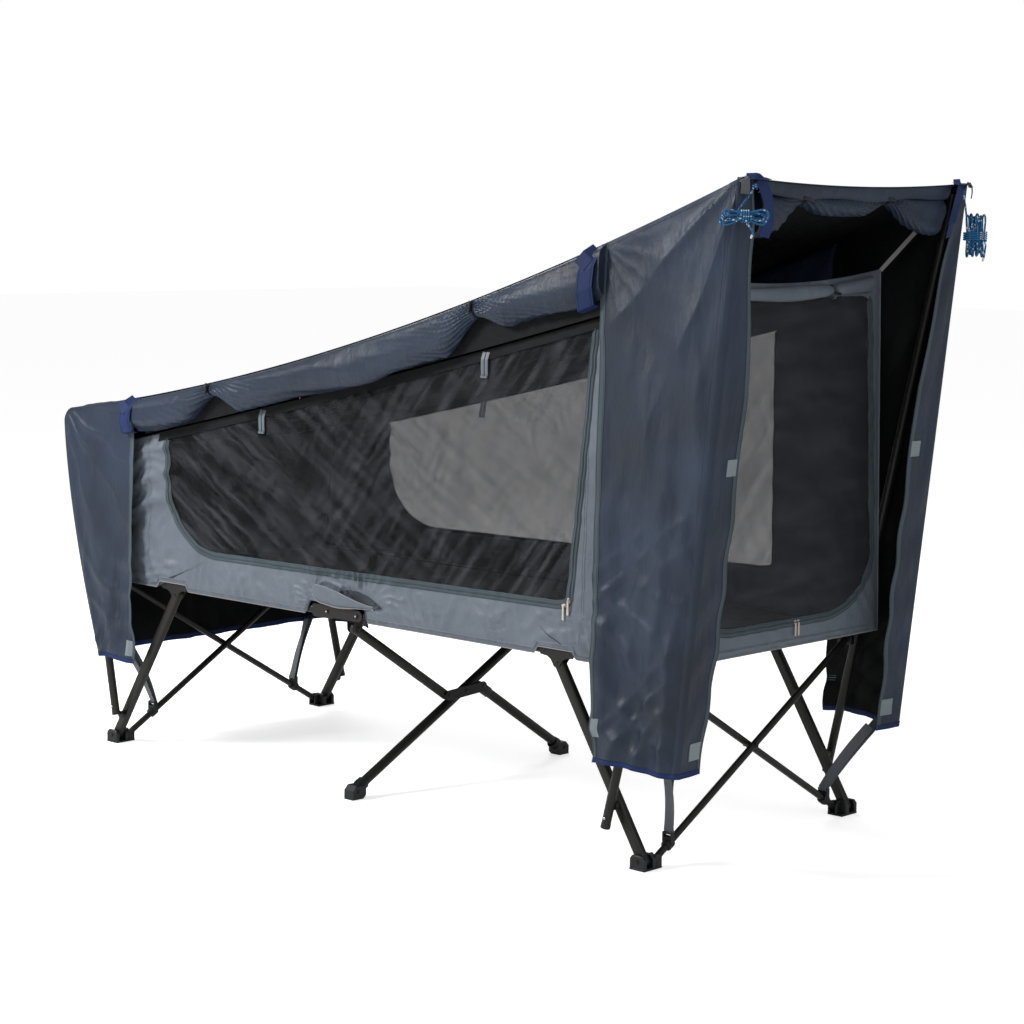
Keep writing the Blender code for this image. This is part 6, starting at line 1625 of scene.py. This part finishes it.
def hank_points(start, side):
    """The guy rope's middle line: a lead from its corner, then the turns of the hank. Also the hank's own ways."""
    facing = math.radians(43.0)
    run_way = np.array([math.cos(facing), math.sin(facing), 0])
    stack_way = np.array([math.sin(facing), -math.cos(facing), 0])
    top = start + np.array([0.011, -0.050, -0.066])
    lift_way = np.array([0.0, 0, 1])
    if side == "far":
        top = start + np.array([0.022, 0.010, -0.106])
        run_way, lift_way = np.array([0.0, 0, -1]), run_way
    first = top + lift_way * 0.0045
    swing = (0, -0.010, -0.030) if side == "near" else (0.010, 0.0, -0.030)
    lead = np.array([start, start + swing, first - run_way * 0.032, first])
    points = []
    for share in np.arange(LEAD_STEPS) / LEAD_STEPS:
        left = 1 - share
        points.append(np.array([left ** 3, 3 * share * left ** 2, 3 * share**2 * left, share**3]) @ lead)
    for i in range(HANK_TURNS * HANK_STEPS + 1):
        turn = 2 * math.pi * i / HANK_STEPS
        tilt = 0.20 * math.sin(i * 0.0131 * 4 + 0.6)
        reach = 0.0450 * math.sin(turn) * (1 + 0.12 * math.sin(turn * 0.37 + 1))
        rise = 0.0225 * math.cos(turn) - 0.018 * math.cos(turn) ** 3 + reach * tilt
        rise = rise - 0.10 * math.hypot(reach, 0.01) + 0.001
        points.append(top + run_way * reach + stack_way * (0.0046 * i / HANK_STEPS) + lift_way * rise)
    return np.array(points), top, run_way, stack_way, lift_way


def show_rope(side):
    """A guy rope in its hank, and with it the wraps round the hank, its tail and the knot at its start."""
    start = np.array([1.2470, -0.4006, 1.5555])
    line, top, run_way, stack_way, lift_way = hank_points(start, side)
    b = Build()
    tube(b, line, ROPE_R, ROPE, 12)
    rope = b.piece(f"{side}_rope", BODIES[side], f"{side}_guy_rope", "cord", side)
    b = Build()
    centre = top + stack_way * 0.0207
    for k in range(4):
        shift = (k - 1.5) * 0.0049
        ring = []
        for a in np.linspace(0, 2 * math.pi, 40):
            across = stack_way * 0.0270 * math.cos(a)
            ring.append(centre + run_way * (shift + 0.0008 * a) + across + lift_way * 0.0120 * math.sin(a))
        tube(b, ring, ROPE_R, ROPE, 12)
    tail = []
    for stack, run, drop in ((0.021, 0.0, 0.002), (0.026, 0.006, 0.018), (0.023, 0.018, 0.033), (0.020, 0.014, 0.046)):
        tail.append(centre + stack_way * stack + run_way * run + np.array([0, 0, -drop]))
    tail = resample(tail, 30)
    tube(b, tail[:26], ROPE_R, ROPE, 12)
    tube(b, tail[25:], 0.0024, ROPE_TIP, 12)
    knot = start + np.array([0.0015, 0.0, -0.004])
    for k in range(2):
        ring = []
        for a in np.linspace(0, 2 * math.pi, 30):
            ring.append(knot + (0.0042 * math.cos(a), 0.0046 * math.sin(a), -0.0044 * k + 0.0007 * a))
        tube(b, ring, 0.0021, ROPE, 10)
    extra = b.piece(f"{side}_rope_wraps_and_tail", BODIES[side], side=side)
    sign = -1 if side == "far" else 1
    path = [(float(p[0]) - ORIGIN_X, float(p[1]) * sign, float(p[2])) for p in line]
    real = float(lengths(line)[-1])


for side_name in SIDES:
    show_side_wall(side_name)
    show_side_roll(side_name)
    show_bands(side_name)
    show_rope(side_name)
    for end_name in ENDS:
        show_strap(side_name, end_name)
    for end_name in ENDS:
        show_fly_panel(side_name, end_name)
show_guard()
show_slider("upright_zip_slider", "side_zip_slider", "side_slider", (0.071, 0.654))
show_slider("level_zip_slider", "bottom_zip_slider", "bottom_slider", (-1.0, 0.0))
show_inner_shell()
show_bed()
show_canopy()
show_head_roll()


# The camera, the lights and the floor

def studio():
    """The photograph's camera, a white world, a pale floor and three soft lamps."""
    scene = bpy.context.scene
    pitch, yaw, roll = math.radians(-6.8491), math.radians(133.1405), math.radians(0.7150)
    ahead = Vector((math.cos(pitch) * math.cos(yaw), math.cos(pitch) * math.sin(yaw), math.sin(pitch)))
    right = Vector((math.sin(yaw), -math.cos(yaw), 0))
    up = right.cross(ahead)
    turned = right * math.cos(roll) + up * math.sin(roll)
    upward = -right * math.sin(roll) + up * math.cos(roll)
    data = bpy.data.cameras.new("photo camera")
    data.lens, data.sensor_width = 88.82, 36.0
    data.clip_end = 60.0
    camera = bpy.data.objects.new("photo camera", data)
    place = Matrix((turned, upward, -ahead)).transposed().to_4x4()
    place.translation = Vector((4.6012 - ORIGIN_X, -4.7250, 1.4990))
    camera.matrix_world = place
    scene.collection.objects.link(camera)
    scene.camera = camera
    scene.render.resolution_x = scene.render.resolution_y = 1024
    scene.view_settings.view_transform = "Standard"
    scene.view_settings.look = "None"
    world = bpy.data.worlds.new("studio")
    world.use_nodes = True
    scene.world = world
    tree = world.node_tree
    back = tree.nodes["Background"]
    back.inputs["Color"].default_value = (1.0, 1.0, 1.0, 1.0)
    seen = tree.nodes.new("ShaderNodeLightPath")
    strength = tree.nodes.new("ShaderNodeMapRange")
    strength.inputs["To Min"].default_value = 0.36
    strength.inputs["To Max"].default_value = 1.0
    tree.links.new(seen.outputs["Is Camera Ray"], strength.inputs["Value"])
    tree.links.new(strength.outputs["Result"], back.inputs["Strength"])
    mesh = bpy.data.meshes.new("floor")
    mesh.from_pydata([(-30, -30, 0), (30, -30, 0), (30, 30, 0), (-30, 30, 0)], [], [(0, 1, 2, 3)])
    floor = bpy.data.objects.new("floor", mesh)
    scene.collection.objects.link(floor)
    pale = Nodes("pale studio floor")
    pale.set(Base_Color=(0.93, 0.93, 0.93, 1.0), Roughness=0.9, Specular_IOR_Level=0.1)
    to_camera = pale.make("ShaderNodeLightPath").outputs["Is Camera Ray"]
    glow = pale.make("ShaderNodeMapRange", {"Value": to_camera, "To Min": 0.05, "To Max": 0.64})
    pale.set(Emission_Color=(1.0, 1.0, 1.0, 1.0), Emission_Strength=glow.outputs["Result"])
    mesh.materials.append(pale.material)
    for name, spot, aim, size, power in (
        ("key", (-2.6, -4.0, 3.6), (0.3, 0, 0.7), 1.3, 235),
        ("side", (4.6, -2.4, 2.6), (0.8, 0, 0.8), 1.6, 40),
        ("rim", (-3.2, 2.8, 3.6), (0, 0, 0.8), 2.2, 70),
    ):
        lamp = bpy.data.lights.new(name, "AREA")
        lamp.shape, lamp.size, lamp.energy = "SQUARE", size, power
        holder = bpy.data.objects.new(name, lamp)
        holder.location = spot
        aimed = Vector(aim) - Vector(spot)
        holder.rotation_euler = aimed.to_track_quat("-Z", "Y").to_euler()
        scene.collection.objects.link(holder)


studio()
